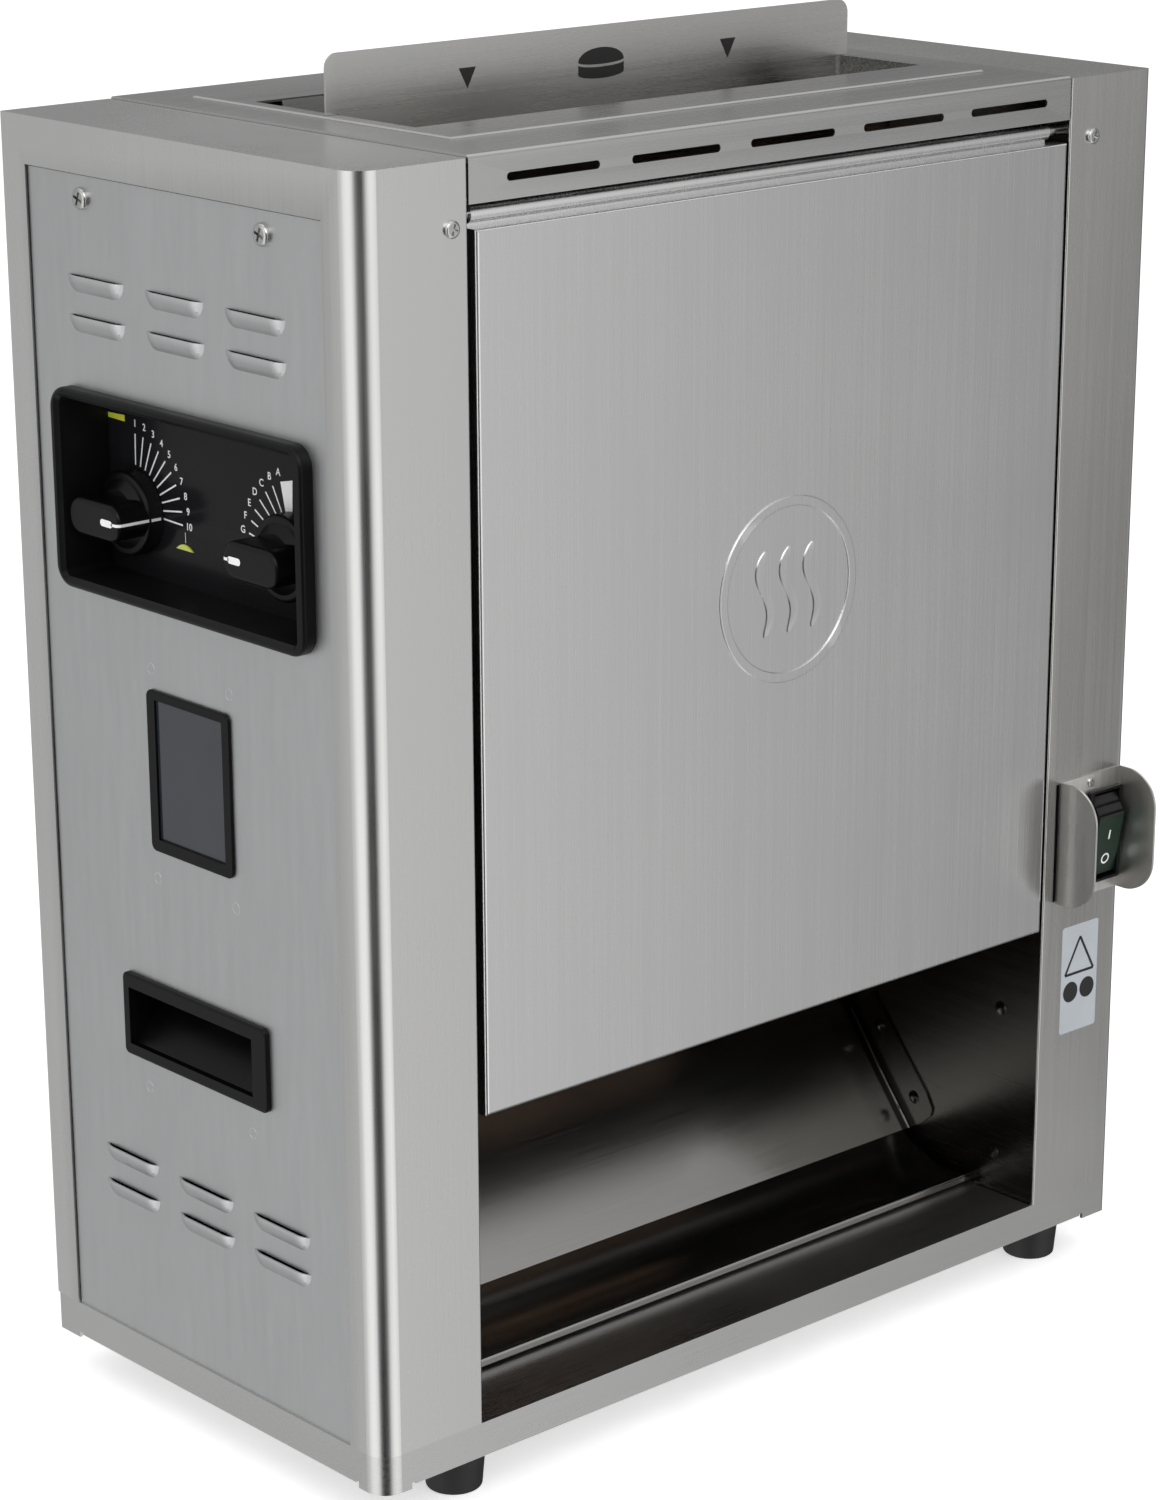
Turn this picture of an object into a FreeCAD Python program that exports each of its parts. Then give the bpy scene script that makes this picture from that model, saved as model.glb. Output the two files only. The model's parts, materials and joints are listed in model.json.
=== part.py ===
import FreeCAD, Part
import math
import os

# Vertical contact toaster: a heated platen stands in a stainless steel case between two belt
# conveyors. Bun halves go in at the top, one on each side of the divider plate, and slide out
# over the landing chute at the bottom of the front.
#
# Millimetres. The case is drawn with X from its left side, Y from its front and Z from the
# underside of the base skirt. Every solid is moved by ORIGIN when it is written, which puts
# the origin at the middle of the whole object, at the bottom of the feet.

V = FreeCAD.Vector
X_AXIS, Y_AXIS, Z_AXIS = V(1, 0, 0), V(0, 1, 0), V(0, 0, 1)

# ---- driving dimensions ------------------------------------------------------------------
WIDTH, DEPTH, HEIGHT = 483.0, 248.0, 584.0      # case, without feet, knobs and guard
SHEET = 1.2                                     # case sheet
SKIRT = 16.7                                    # height of the base skirt
BASE_SHEET = 1.5
CORNER_R = 11.0                                 # rounded front left corner of the case
TIGHT_R = 2.0                                   # the other corners
FOOT_H, FOOT_TOP_R, FOOT_TIP_R = 22.0, 15.0, 13.0
FOOT_X, FOOT_Y = (59.5, 450.0), (22.0, 226.0)
BAY_LEFT, BAY_RIGHT = 58.5, 427.5               # edges of the toasting bay
TOP_RISE = 1.2                                  # the top cover stands above the housings
FLANGE_LOW = 565.0                              # lower edge of the top cover's front flange

# side panels
PANEL_Y, PANEL_Z = (22.5, 231.0), (16.7, 562.5)
PANEL_FACE = 1.2                                # the panel's face lies this far inside the case side
PANEL_GAP = 0.6
LEDGE_W = 10.0
LOUVRE_Y = (69.5, 125.5, 182.5)                 # middles of the louvre columns
LOUVRE_TOPS = (518.0, 500.3, 108.2, 90.4)
LOUVRE_LEN, LOUVRE_H, LOUVRE_OUT = 41.0, 7.5, 2.6

# controls on the left panel
BEZEL_Y, BEZEL_Z = (33.3, 212.8), (377.5, 468.2)
RECESS_Y, RECESS_Z = (39.2, 207.0), (382.4, 463.7)
BEZEL_OUT, BEZEL_SLOPE = 6.0, 1.9               # in front of the case side, and its inner chamfer
DIAL_X = 22.0                                   # face of the dial plate
KNOB_Y, KNOB_Z = (73.5, 186.5), 411.0
KNOB_R, SKIRT_T, KNOB_GAP = 19.2, 8.0, 0.6
BAR_LEN, BAR_W, BAR_R, BAR_TOP = 37.5, 17.0, 8.0, -3.0
CAM_R, CRANK_R, CRANK_PIN_R, CRANK_E = 4.0, 8.0, 3.0, 4.0
DISPLAY_Y, DISPLAY_Z = (95.4, 155.2), (264.5, 339.7)
WINDOW_Y, WINDOW_Z = (100.0, 149.0), (270.5, 335.5)
HANDLE_Y, HANDLE_Z = (74.4, 180.9), (160.3, 200.2)
POCKET_Y, POCKET_Z = (84.0, 176.0), (166.0, 193.5)
HANDLE_OUT, HANDLE_DEEP = 1.8, 20.0

# power switch and its guard, on the right of the front
GUARD_X, GUARD_Z, GUARD_OUT, GUARD_T, GUARD_R = (436.0, 481.0), (177.0, 240.0), 25.0, 1.2, 18.0
GUARD_SLIT = 1.9                                # slit in the housing beside the guard's left ear
SWITCH_X, SWITCH_Z = (456.5, 479.6), (183.0, 231.0)
SWITCH_RIM, SWITCH_DEPTH = 0.6, 26.0            # rim wider than the body, and body behind the front
ROCKER_X, ROCKER_Z = (459.5, 477.5), (186.2, 227.4)
ROCKER_PIVOT_Y, ROCKER_MID_Z = 6.0, 206.7
ROCKER_RIDGE_Z = 217.5                          # green below the ridge, black grip above it

# front door and its hinge rod
DOOR_X, DOOR_Z = (63.0, 426.0), (164.0, 554.3)
DOOR_RETURN = 15.0
HINGE_Y, HINGE_Z = 8.0, 559.6
ROD_R, KNUCKLE_R, KNUCKLE_X = 2.5, 3.85, (64.0, 418.0)
EMBOSS_X, EMBOSS_Z, EMBOSS_R, EMBOSS_W, EMBOSS_T = 246.0, 371.3, 43.2, 4.7, 0.6

# feed opening in the top
FRAME_X, FRAME_Y, FRAME_T = (82.0, 408.0), (38.0, 217.0), 1.0
FEED_X, FEED_Y = (90.0, 399.0), (70.5, 181.5)
GUIDE_X, GUIDE_LOW_Z, GUIDE_IN = (105.0, 385.0), 552.0, 8.0
PLATE_Y, PLATE_TOP = 124.0, 612.5
PLATE_X, PLATE_LOW_X, PLATE_LOW_Z, PLATE_R = (84.5, 404.5), (92.0, 397.0), 545.0, 6.5

# toasting bay: platen in the middle, a conveyor on each side
PLATEN_X, PLATEN_Z, PLATEN_MID_Y = (84.0, 402.0), (195.0, 540.0), 126.0
PLATEN_GAP, PLATEN_T = 6.0, 5.0                 # between the two castings, and each casting
CONVEYOR_Y = (51.0, 201.0)                      # front and rear shafts
DRIVE_Z, IDLER_Z = 215.0, 520.0
SHAFT_R, ROLLER_R, RUN = 6.0, 26.0, 0.05        # RUN is the radial clearance of a running fit
BELT_X, BELT_IN_R, BELT_T = (84.0, 402.0), 26.3, 2.5
ARM_X, ARM_T, ARM_R = (71.0, 413.0), 2.0, 22.0  # the conveyors' side arms
CHUTE_TOP, CHUTE_BEND = (130.0, 88.5), (86.2, 33.9)     # (y, z) on the chute's straight run
CHUTE_DIP, CHUTE_LIP = (65.1, 23.8), (41.4, 22.4)
HEM_H, HEM_LEN, BEND_R = 4.4, 8.6, 1.6
CHUTE_RIVETS = ((109.0, 85.2), (83.4, 51.7))            # (y, z)
WALL_STUDS = ((26.0, 116.6), (28.4, 37.7))

# heaters: height of the lower and the upper run, where the bend starts, and the bend's radius
HEATER_R, HEATER_START_X = 3.0, 36.0
HEATERS = {"heater_outer": (258.0, 505.0, 360.0, 30.0), "heater_inner": (322.0, 441.0, 305.0, 59.5)}
HEATER_Z_ALL = [z for run in HEATERS.values() for z in run[:2]]

# gear train, motor and fan in the left housing
GEAR_X, GEAR_W, GEAR_TEETH, GEAR_MODULE = 44.0, 8.0, 25, 2.0
TRANSFER_Y = (101.0, 151.0)
STUD_R = 5.0                                    # studs of the transfer gears, and the motor's shaft
PINION_Z = DRIVE_Z - GEAR_TEETH * GEAR_MODULE
GEARBOX_X, GEARBOX_Y, GEARBOX_Z = (21.5, 39.5), (78.0, 126.0), (136.0, 190.0)
MOTOR_X, MOTOR_Y, MOTOR_R, MOTOR_Z = 30.5, 101.0, 21.0, (52.0, 136.0)
FAN_X, FAN_Y, FAN_Z, FAN_HALF = (24.0, 46.0), 184.0, 82.0, 38.0

# cable gland, at the rear of the right housing
GLAND_X, GLAND_Z, GLAND_OUT, GLAND_BORE_R = 455.0, 60.0, 14.0, 5.0

ORIGIN = V((WIDTH + HANDLE_OUT - BEZEL_OUT) / 2, (DEPTH + GLAND_OUT - GUARD_OUT) / 2, -FOOT_H)


# ---- helpers -----------------------------------------------------------------------------
def box(x, y, z):
    """A box between three (low, high) pairs."""
    return Part.makeBox(x[1] - x[0], y[1] - y[0], z[1] - z[0], V(x[0], y[0], z[0]))


def rod(radius, start, length, axis=X_AXIS):
    return Part.makeCylinder(radius, length, V(*start), axis)


def tube(outer, inner, start, length, axis=X_AXIS):
    return rod(outer, start, length, axis).cut(rod(inner, start, length, axis))


def fuse(first, *others):
    return first.multiFuse(list(others)).removeSplitter() if others else first


def cut(solid, *tools):
    return solid.cut(list(tools)) if tools else solid


def edges_along(solid, axis, test=None):
    """Straight edges of a solid that run along an axis, and whose middles pass the test."""
    found = []
    for edge in solid.Edges:
        way = edge.tangentAt(edge.FirstParameter)
        if abs(abs(way.dot(axis)) - 1) < 1e-6 and (test is None or test(edge.CenterOfMass)):
            found.append(edge)
    return found


def rounded(solid, axis, radius, test=None):
    return solid.makeFillet(radius, edges_along(solid, axis, test))


def prism(points, axis, start, length):
    """Extrude an outline. Its points are (y, z) along X, (x, z) along Y and (x, y) along Z."""
    lift = {"x": lambda p: V(start, p[0], p[1]), "y": lambda p: V(p[0], start, p[1]),
            "z": lambda p: V(p[0], p[1], start)}[axis]
    way = {"x": X_AXIS, "y": Y_AXIS, "z": Z_AXIS}[axis]
    corners = [lift(p) for p in points]
    wire = Part.makePolygon(corners + corners[:1])
    return Part.Face(wire).extrude(way * length)


def stadium(radius, y, low_z, high_z, x):
    """A plate standing along X whose outline has a half circle at its low and high ends."""
    length = x[1] - x[0]
    ends = [rod(radius, (x[0], y, z), length) for z in (low_z, high_z)]
    return fuse(box(x, (y - radius, y + radius), (low_z, high_z)), *ends)


def mirrored(shape):
    """The same piece on the other side of the case."""
    return shape.mirror(V(WIDTH / 2, 0, 0), X_AXIS)


def compound(solids):
    return Part.makeCompound(solids)


def grown(pair, by):
    return (pair[0] - by, pair[1] + by)


def dome(radius, height, place, way):
    """A shallow domed head whose flat side lies at a place, facing along X in the way given."""
    ball_r = (radius ** 2 + height ** 2) / (2 * height)
    ball = Part.makeSphere(ball_r, V(place[0] - way * (ball_r - height), place[1], place[2]))
    x = sorted((place[0], place[0] + way * 2 * height))
    return ball.common(box(x, grown((place[1],) * 2, 2 * radius), grown((place[2],) * 2, 2 * radius)))


# ---- base --------------------------------------------------------------------------------
def footprint(z, inset):
    """The case outline between two heights, set in from the outer faces."""
    solid = box((inset, WIDTH - inset), (inset, DEPTH - inset), z)
    front_left = lambda p: p.x < CORNER_R and p.y < CORNER_R
    solid = rounded(solid, Z_AXIS, max(TIGHT_R - inset, 0.4), lambda p: not front_left(p))
    return rounded(solid, Z_AXIS, CORNER_R - inset, front_left)


def base_tray():
    """Folded plate with a skirt, which hangs 2 mm lower at the corners beside bend reliefs."""
    lip, lip_len, relief_w, relief_h = 2.0, 18.0, 2.2, 3.0
    tray = footprint((0, SKIRT), 0).cut(footprint((-1, SKIRT - BASE_SHEET), BASE_SHEET))
    ring = footprint((-lip, 0), 0).cut(footprint((-lip, 0), BASE_SHEET))
    for x in ((0, lip_len), (WIDTH - lip_len, WIDTH)):
        for y in ((0, lip_len), (DEPTH - lip_len, DEPTH)):
            tray = tray.fuse(ring.common(box(x, y, (-lip, 0))))
    reliefs = []
    for x in (lip_len, WIDTH - lip_len):
        for y in ((-1, BASE_SHEET + 0.5), (DEPTH - BASE_SHEET - 0.5, DEPTH + 1)):
            reliefs.append(box((x - relief_w / 2, x + relief_w / 2), y, (-lip - 1, relief_h - lip)))
    for y in (lip_len, DEPTH - lip_len):
        for x in ((-1, BASE_SHEET + 0.5), (WIDTH - BASE_SHEET - 0.5, WIDTH + 1)):
            reliefs.append(box(x, (y - relief_w / 2, y + relief_w / 2), (-lip - 1, relief_h - lip)))
    return cut(tray, *reliefs).removeSplitter()


def feet():
    """Four tapered rubber feet on stems that reach the plate, each with a screw well below."""
    solids = []
    for x in FOOT_X:
        for y in FOOT_Y:
            foot = Part.makeCone(FOOT_TIP_R, FOOT_TOP_R, FOOT_H, V(x, y, -FOOT_H), Z_AXIS)
            foot = foot.makeFillet(1.5, [e for e in foot.Edges if e.CenterOfMass.z < 1 - FOOT_H
                                         and e.Curve.TypeId == "Part::GeomCircle"])
            foot = fuse(foot, rod(9.0, (x, y, 0), SKIRT - BASE_SHEET, Z_AXIS))
            solids.append(foot.cut(rod(5.0, (x, y, -FOOT_H), 12.0, Z_AXIS)))
    return compound(solids)


# ---- housings and panels -----------------------------------------------------------------
def housing(x):
    """A folded side housing, open towards the bay and at the bottom, before its openings."""
    left = x[0] < WIDTH / 2
    front_r = CORNER_R if left else TIGHT_R
    side = x[0] if left else x[1]
    bay_side = x[1] if left else x[0]
    near = lambda p: abs(p.x - side) < 12 and p.y < 12
    outer = rounded(box(x, (0, DEPTH), (SKIRT, HEIGHT)), Z_AXIS, front_r, near)
    outer = rounded(outer, Z_AXIS, 0.8, lambda p: abs(p.x - bay_side) < 0.1 and p.y < 0.1)
    hollow_x = (x[0] + SHEET, x[1] + 1) if left else (x[0] - 1, x[1] - SHEET)
    hollow = box(hollow_x, (SHEET, DEPTH - SHEET), (SKIRT - 1, HEIGHT - SHEET))
    hollow = rounded(hollow, Z_AXIS, max(front_r - SHEET, 0.6), near)
    return outer.cut(hollow)


def panel_seat():
    """The joggled ledge round the left side opening, and what is cut for it."""
    deep = PANEL_FACE + SHEET
    ring = box((0, deep + SHEET), grown(PANEL_Y, SHEET), (PANEL_Z[0], PANEL_Z[1] + SHEET))
    well = box((-1, deep), PANEL_Y, PANEL_Z)
    through = box((-1, deep + SHEET + 1), grown(PANEL_Y, -LEDGE_W), grown(PANEL_Z, -LEDGE_W))
    return ring, well, through


def left_housing():
    ring, well, through = panel_seat()
    return cut(fuse(housing((0, BAY_LEFT)), ring), well, through)


def right_housing():
    ring, well, through = [mirrored(s) for s in panel_seat()]
    shell = cut(fuse(housing((BAY_RIGHT, WIDTH)), ring), well, through)
    switch_hole = box(grown(SWITCH_X, -SWITCH_RIM), (-1, SHEET + 1), grown(SWITCH_Z, -SWITCH_RIM))
    slit = box((GUARD_X[0] - GUARD_SLIT, GUARD_X[0]), (-1, SHEET + 1), grown(GUARD_Z, -1))
    gland_hole = rod(8.0, (GLAND_X, DEPTH - SHEET - 1, GLAND_Z), SHEET + 2, Y_AXIS)
    return cut(shell, switch_hole, slit, gland_hole)


def louvre(inset=0.0):
    """A louvre's bulge, at the origin, standing out towards -X and open along its top edge."""
    radius = (LOUVRE_OUT ** 2 + LOUVRE_H ** 2) / (2 * LOUVRE_OUT)
    depth = radius - LOUVRE_OUT
    half = LOUVRE_LEN / 2 - LOUVRE_H
    body = fuse(rod(radius - inset, (depth, -half, 0), 2 * half, Y_AXIS),
                Part.makeSphere(radius - inset, V(depth, -half, 0)),
                Part.makeSphere(radius - inset, V(depth, half, 0)))
    return body.common(box((-LOUVRE_OUT - 1, 0), (-40, 40), (-LOUVRE_H - 1, 0)))


def add_louvres(panel, places, turn=0.0):
    """Add louvres whose top edges' middles are the given points, turned about Z."""
    skin = 0.9
    for place in places:
        outer, inner = louvre(), louvre(skin)
        slot = box((-1, SHEET + 1), (-LOUVRE_LEN / 2 + 3, LOUVRE_LEN / 2 - 3), (-LOUVRE_H + 3, 0))
        for solid in (outer, inner, slot):
            solid.rotate(V(0, 0, 0), Z_AXIS, turn)
            solid.translate(V(*place))
        panel = panel.fuse(outer).cut(Part.makeCompound([inner, slot]))
    return panel.removeSplitter()


def side_panel(extra_cuts):
    """A lift-off service panel with four rows of louvres and the hole for its pocket handle."""
    panel = box((PANEL_FACE, PANEL_FACE + SHEET), grown(PANEL_Y, -PANEL_GAP),
                (PANEL_Z[0], PANEL_Z[1] - PANEL_GAP))
    places = [(PANEL_FACE, y, z) for z in LOUVRE_TOPS for y in LOUVRE_Y]
    panel = add_louvres(panel, places)
    handle_hole = box((-3, 5), grown(POCKET_Y, 2), grown(POCKET_Z, 2))
    return cut(panel, handle_hole, *extra_cuts)


def left_panel():
    controls = box((-3, 5), grown(RECESS_Y, 2), grown(RECESS_Z, 2))
    display = box((-3, 5), grown(WINDOW_Y, 1.5), grown(WINDOW_Z, 1.5))
    return side_panel([controls, display])


def right_panel():
    return mirrored(side_panel([]))


def bay_wall(left):
    """An inner wall of the toasting bay, with a flange along its top that carries the cover.
    Two domed studs hold it at the front, and a bead fills its corner with the base plate."""
    x = (BAY_LEFT - SHEET, BAY_LEFT) if left else (BAY_RIGHT, BAY_RIGHT + SHEET)
    flange_x = (BAY_LEFT - SHEET, BAY_LEFT + 11) if left else (BAY_RIGHT - 11, BAY_RIGHT + SHEET)
    under_top = HEIGHT - SHEET
    wall = box(x, (SHEET, DEPTH - SHEET), (SKIRT, under_top))
    flange = box(flange_x, (SHEET, DEPTH - SHEET), (under_top - SHEET, under_top))
    pad_x = (BAY_LEFT, BAY_LEFT + 11) if left else (BAY_RIGHT - 11, BAY_RIGHT)
    pad = box(pad_x, (SHEET, DEPTH - SHEET), (under_top, HEIGHT))
    face, way = (BAY_LEFT, 1) if left else (BAY_RIGHT, -1)
    corner = face + way * BEND_R
    bead = box(sorted((face, corner)), (SHEET, CHUTE_LIP[0] - 1), (SKIRT, SKIRT + BEND_R))
    bead = bead.cut(rod(BEND_R, (corner, 0, SKIRT + BEND_R), DEPTH, Y_AXIS))
    studs = [dome(3.6, 0.9, (face, y, z), way) for y, z in WALL_STUDS]
    wall = fuse(wall, flange, pad, bead, *studs)
    holes = [rod(SHAFT_R + RUN, (x[0] - 1, y, DRIVE_Z), 4) for y in CONVEYOR_Y]
    if left:
        holes += [rod(CAM_R + RUN, (x[0] - 1, y, KNOB_Z), 4) for y in KNOB_Y]
        holes += [rod(5.0, (x[0] - 1, PLATEN_MID_Y, z), 4) for z in HEATER_Z_ALL]
    return cut(wall, *holes)


def rear_cover():
    """The cover of the bay at the back, with two rows of louvres."""
    cover = box((BAY_LEFT + 0.8, BAY_RIGHT - 0.8), (DEPTH - SHEET, DEPTH), (SKIRT, FLANGE_LOW - 0.6))
    middle = (BAY_LEFT + BAY_RIGHT) / 2
    places = [(middle + dx, DEPTH, z) for z in (500.0, 482.0) for dx in (-112, -56, 0, 56, 112)]
    return add_louvres(cover, places, -90.0)


# ---- top ---------------------------------------------------------------------------------
def top_cover():
    """Cover between the housings. Its front flange has five slots."""
    x = (BAY_LEFT + 0.8, BAY_RIGHT - 0.8)
    top = HEIGHT + TOP_RISE
    body = box(x, (0, DEPTH), (FLANGE_LOW, top))
    body = rounded(body, X_AXIS, 2.2, lambda p: p.z > top - 1)
    inner = box((x[0] - 1, x[1] + 1), (SHEET, DEPTH - SHEET), (FLANGE_LOW - 1, HEIGHT))
    feed = box(grown(FEED_X, 5), grown(FEED_Y, 12), (HEIGHT - 1, top + 1))
    slot_len, slot_h, pitch, slot_z = 51.5, 3.6, 69.8, 574.2
    slots = []
    for i in range(5):
        start = 80.0 + i * pitch
        slot = box((start, start + slot_len), (-1, SHEET + 1), (slot_z - slot_h / 2, slot_z + slot_h / 2))
        slots.append(rounded(slot, Y_AXIS, slot_h / 2 - 0.05))
    return cut(body, inner, feed, *slots)


def feed_frame():
    """Raised frame round the feed opening, with side lips and two sloping bun guides."""
    low = HEIGHT + TOP_RISE
    plate = box(FRAME_X, FRAME_Y, (low, low + FRAME_T))
    rim = [e for e in plate.Edges if e.CenterOfMass.z > low + FRAME_T - 0.01]
    plate = plate.makeChamfer(0.7, rim)
    lips = [box((x, x + SHEET), (FEED_Y[0] + 4, FEED_Y[1] - 4), (572.0, low + 0.3))
            for x in (FEED_X[0] - SHEET, FEED_X[1])]
    guides = []
    for y, way in ((FEED_Y[0], 1), (FEED_Y[1], -1)):
        outline = [(y, low + 0.3), (y + way * GUIDE_IN, GUIDE_LOW_Z),
                   (y + way * (GUIDE_IN - SHEET), GUIDE_LOW_Z), (y - way * SHEET, low + 0.3)]
        guides.append(prism(outline, "x", GUIDE_X[0], GUIDE_X[1] - GUIDE_X[0]))
    hole = box(FEED_X, FEED_Y, (low - 1, low + FRAME_T + 1))
    return fuse(cut(plate, hole), *lips, *guides)


def divider_plate():
    """Lift-out plate that keeps the two bun halves apart; its shoulders rest on the feed frame."""
    y = (PLATE_Y, PLATE_Y + SHEET)
    shoulder = HEIGHT + TOP_RISE + FRAME_T + 0.2
    upper = rounded(box(PLATE_X, y, (shoulder, PLATE_TOP)), Y_AXIS, PLATE_R,
                    lambda p: p.z > PLATE_TOP - 1)
    lower = rounded(box(PLATE_LOW_X, y, (PLATE_LOW_Z, shoulder + 1)), Y_AXIS, 8.0,
                    lambda p: p.z < PLATE_LOW_Z + 1)
    return fuse(upper, lower)


# ---- front door --------------------------------------------------------------------------
def hinge_rod():
    return rod(ROD_R, (BAY_LEFT, HINGE_Y, HINGE_Z), BAY_RIGHT - BAY_LEFT)


def front_door():
    """Folded door that hangs by a rolled knuckle from the hinge rod, with a raised ring."""
    shell = box(DOOR_X, (0, DOOR_RETURN), DOOR_Z)
    shell = shell.makeFillet(1.6, [e for e in shell.Edges if e.BoundBox.YMax < 0.01])
    inner = box(grown(DOOR_X, -SHEET), (SHEET, DOOR_RETURN + 1), grown(DOOR_Z, -SHEET))
    top_trim = box(DOOR_X, (HINGE_Y + SHEET, DOOR_RETURN + 1), (DOOR_Z[1] - 8, DOOR_Z[1] + 1))
    shell = cut(shell, inner, top_trim)
    length = KNUCKLE_X[1] - KNUCKLE_X[0]
    neck = box(KNUCKLE_X, (HINGE_Y - SHEET / 2, HINGE_Y + SHEET / 2), (DOOR_Z[1] - SHEET, HINGE_Z - 3.2))
    knuckle = rod(KNUCKLE_R, (KNUCKLE_X[0], HINGE_Y, HINGE_Z), length)
    bore = rod(ROD_R + RUN, (KNUCKLE_X[0] - 1, HINGE_Y, HINGE_Z), length + 2)
    ring = tube(EMBOSS_R, EMBOSS_R - EMBOSS_W, (EMBOSS_X, -EMBOSS_T, EMBOSS_Z), EMBOSS_T + 0.3, Y_AXIS)
    ring = ring.makeFillet(0.4, [e for e in ring.Edges if e.CenterOfMass.y < 0.01 - EMBOSS_T
                                 and e.Curve.TypeId == "Part::GeomCircle"])
    return cut(fuse(shell, neck, knuckle, ring), bore)


# ---- platen and heaters ------------------------------------------------------------------
def platen_half(y):
    """One casting of the platen, with its long vertical edges and corners eased."""
    return rounded(box(PLATEN_X, y, PLATEN_Z), Y_AXIS, 8.0)


def platen_front():
    face = PLATEN_MID_Y - PLATEN_GAP / 2
    return platen_half((face - PLATEN_T, face))


def platen_rear():
    face = PLATEN_MID_Y + PLATEN_GAP / 2
    return platen_half((face, face + PLATEN_T))


def platen_rails():
    """Bars that close the two side edges of the platen; the left one lets the heaters out."""
    y = (PLATEN_MID_Y - PLATEN_GAP / 2, PLATEN_MID_Y + PLATEN_GAP / 2)
    left = box((PLATEN_X[0], PLATEN_X[0] + 6), y, grown(PLATEN_Z, -10))
    holes = [rod(HEATER_R, (PLATEN_X[0] - 1, PLATEN_MID_Y, z), 8) for z in HEATER_Z_ALL]
    slots = [box((PLATEN_X[0] - 1, PLATEN_X[0] + 7), y, (z - HEATER_R, z + HEATER_R)) for z in HEATER_Z_ALL]
    left = cut(left, *holes, *slots)
    right = box((PLATEN_X[1] - 6, PLATEN_X[1]), y, grown(PLATEN_Z, -10))
    return compound(left.Solids + [right])


def platen_standoffs():
    """Pins that hold the platen between the bay walls."""
    solids = []
    for z in (PLATEN_Z[0] + 20, PLATEN_Z[1] - 15):
        solids.append(rod(4.0, (BAY_LEFT, PLATEN_MID_Y, z), PLATEN_X[0] - BAY_LEFT))
        solids.append(rod(4.0, (PLATEN_X[1], PLATEN_MID_Y, z), BAY_RIGHT - PLATEN_X[1]))
    return compound(solids)


def heater(low, high, far, bend):
    """A tubular element: two level runs joined by a tall bend, with both ends on the left."""
    def at(x, z):
        return V(x, PLATEN_MID_Y, z)

    side, ease = far + bend, bend * (1 - math.sqrt(0.5))
    low_end, high_end = at(side, low + bend), at(side, high - bend)
    edges = [Part.LineSegment(at(HEATER_START_X, low), at(far, low)).toShape(),
             Part.Arc(at(far, low), at(side - ease, low + ease), low_end).toShape()]
    if high_end.z - low_end.z > 0.1:
        edges.append(Part.LineSegment(low_end, high_end).toShape())
    edges += [Part.Arc(high_end, at(side - ease, high - ease), at(far, high)).toShape(),
              Part.LineSegment(at(far, high), at(HEATER_START_X, high)).toShape()]
    profile = Part.Wire(Part.makeCircle(HEATER_R, at(HEATER_START_X, low), X_AXIS))
    return Part.Wire(edges).makePipeShell([profile], True, False)


# ---- conveyors ---------------------------------------------------------------------------
def arm(y, cam_y, cam_way, x):
    """One side arm of a conveyor: it turns on the drive shaft, and the knob's crank moves it."""
    plate = stadium(ARM_R, y, DRIVE_Z, IDLER_Z, x)
    ear = fuse(rod(15.0, (x[0], cam_y, KNOB_Z), x[1] - x[0]),
               box(x, sorted((y, cam_y)), (KNOB_Z - 15.0, KNOB_Z + 15.0)))
    pin_mid = KNOB_Z - CRANK_E
    slot_w, slot_half = 2 * CRANK_PIN_R + 0.7, 7.5
    pin_y = cam_y - cam_way * CRANK_E * math.sin(math.radians(45))
    slot = rounded(box(grown(x, 1), (pin_y - slot_w / 2, pin_y + slot_w / 2),
                       (pin_mid - slot_half, pin_mid + slot_half)), X_AXIS, slot_w / 2 - 0.02)
    bores = [rod(SHAFT_R + RUN, (x[0] - 1, y, z), x[1] - x[0] + 2) for z in (DRIVE_Z, IDLER_Z)]
    windows = [rod(12.0, (x[0] - 1, y, z), x[1] - x[0] + 2) for z in (265.0, 330.0, 465.0)]
    return cut(fuse(plate, ear), slot, *bores, *windows)


def conveyor_plates(i):
    """Both side arms of conveyor i (0 front, 1 rear). Only the left one has a driven slot."""
    way = 1 if i == 0 else -1
    arms = [arm(CONVEYOR_Y[i], KNOB_Y[i], way, (x, x + ARM_T)) for x in ARM_X]
    return compound(arms)


def conveyor_ties(i):
    """Cross rods that hold the two arms apart, inside the belt."""
    start = ARM_X[0] + ARM_T
    return compound([rod(4.0, (start, CONVEYOR_Y[i], z), ARM_X[1] - start) for z in (295.0, 370.0, 440.0)])


def belt(i):
    """The belt loop, with shallow cross grooves on its outside."""
    outer = stadium(BELT_IN_R + BELT_T, CONVEYOR_Y[i], DRIVE_Z, IDLER_Z, BELT_X)
    inner = stadium(BELT_IN_R, CONVEYOR_Y[i], DRIVE_Z, IDLER_Z, grown(BELT_X, 1))
    grooves = []
    face = BELT_IN_R + BELT_T
    for side in (-1, 1):
        y = CONVEYOR_Y[i] + side * face
        for n in range(19):
            z = DRIVE_Z + 8 + n * 16
            grooves.append(box(grown(BELT_X, 1), sorted((y - side * 0.7, y + side)), (z, z + 2.5)))
    return cut(outer.cut(inner), *grooves)


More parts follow.
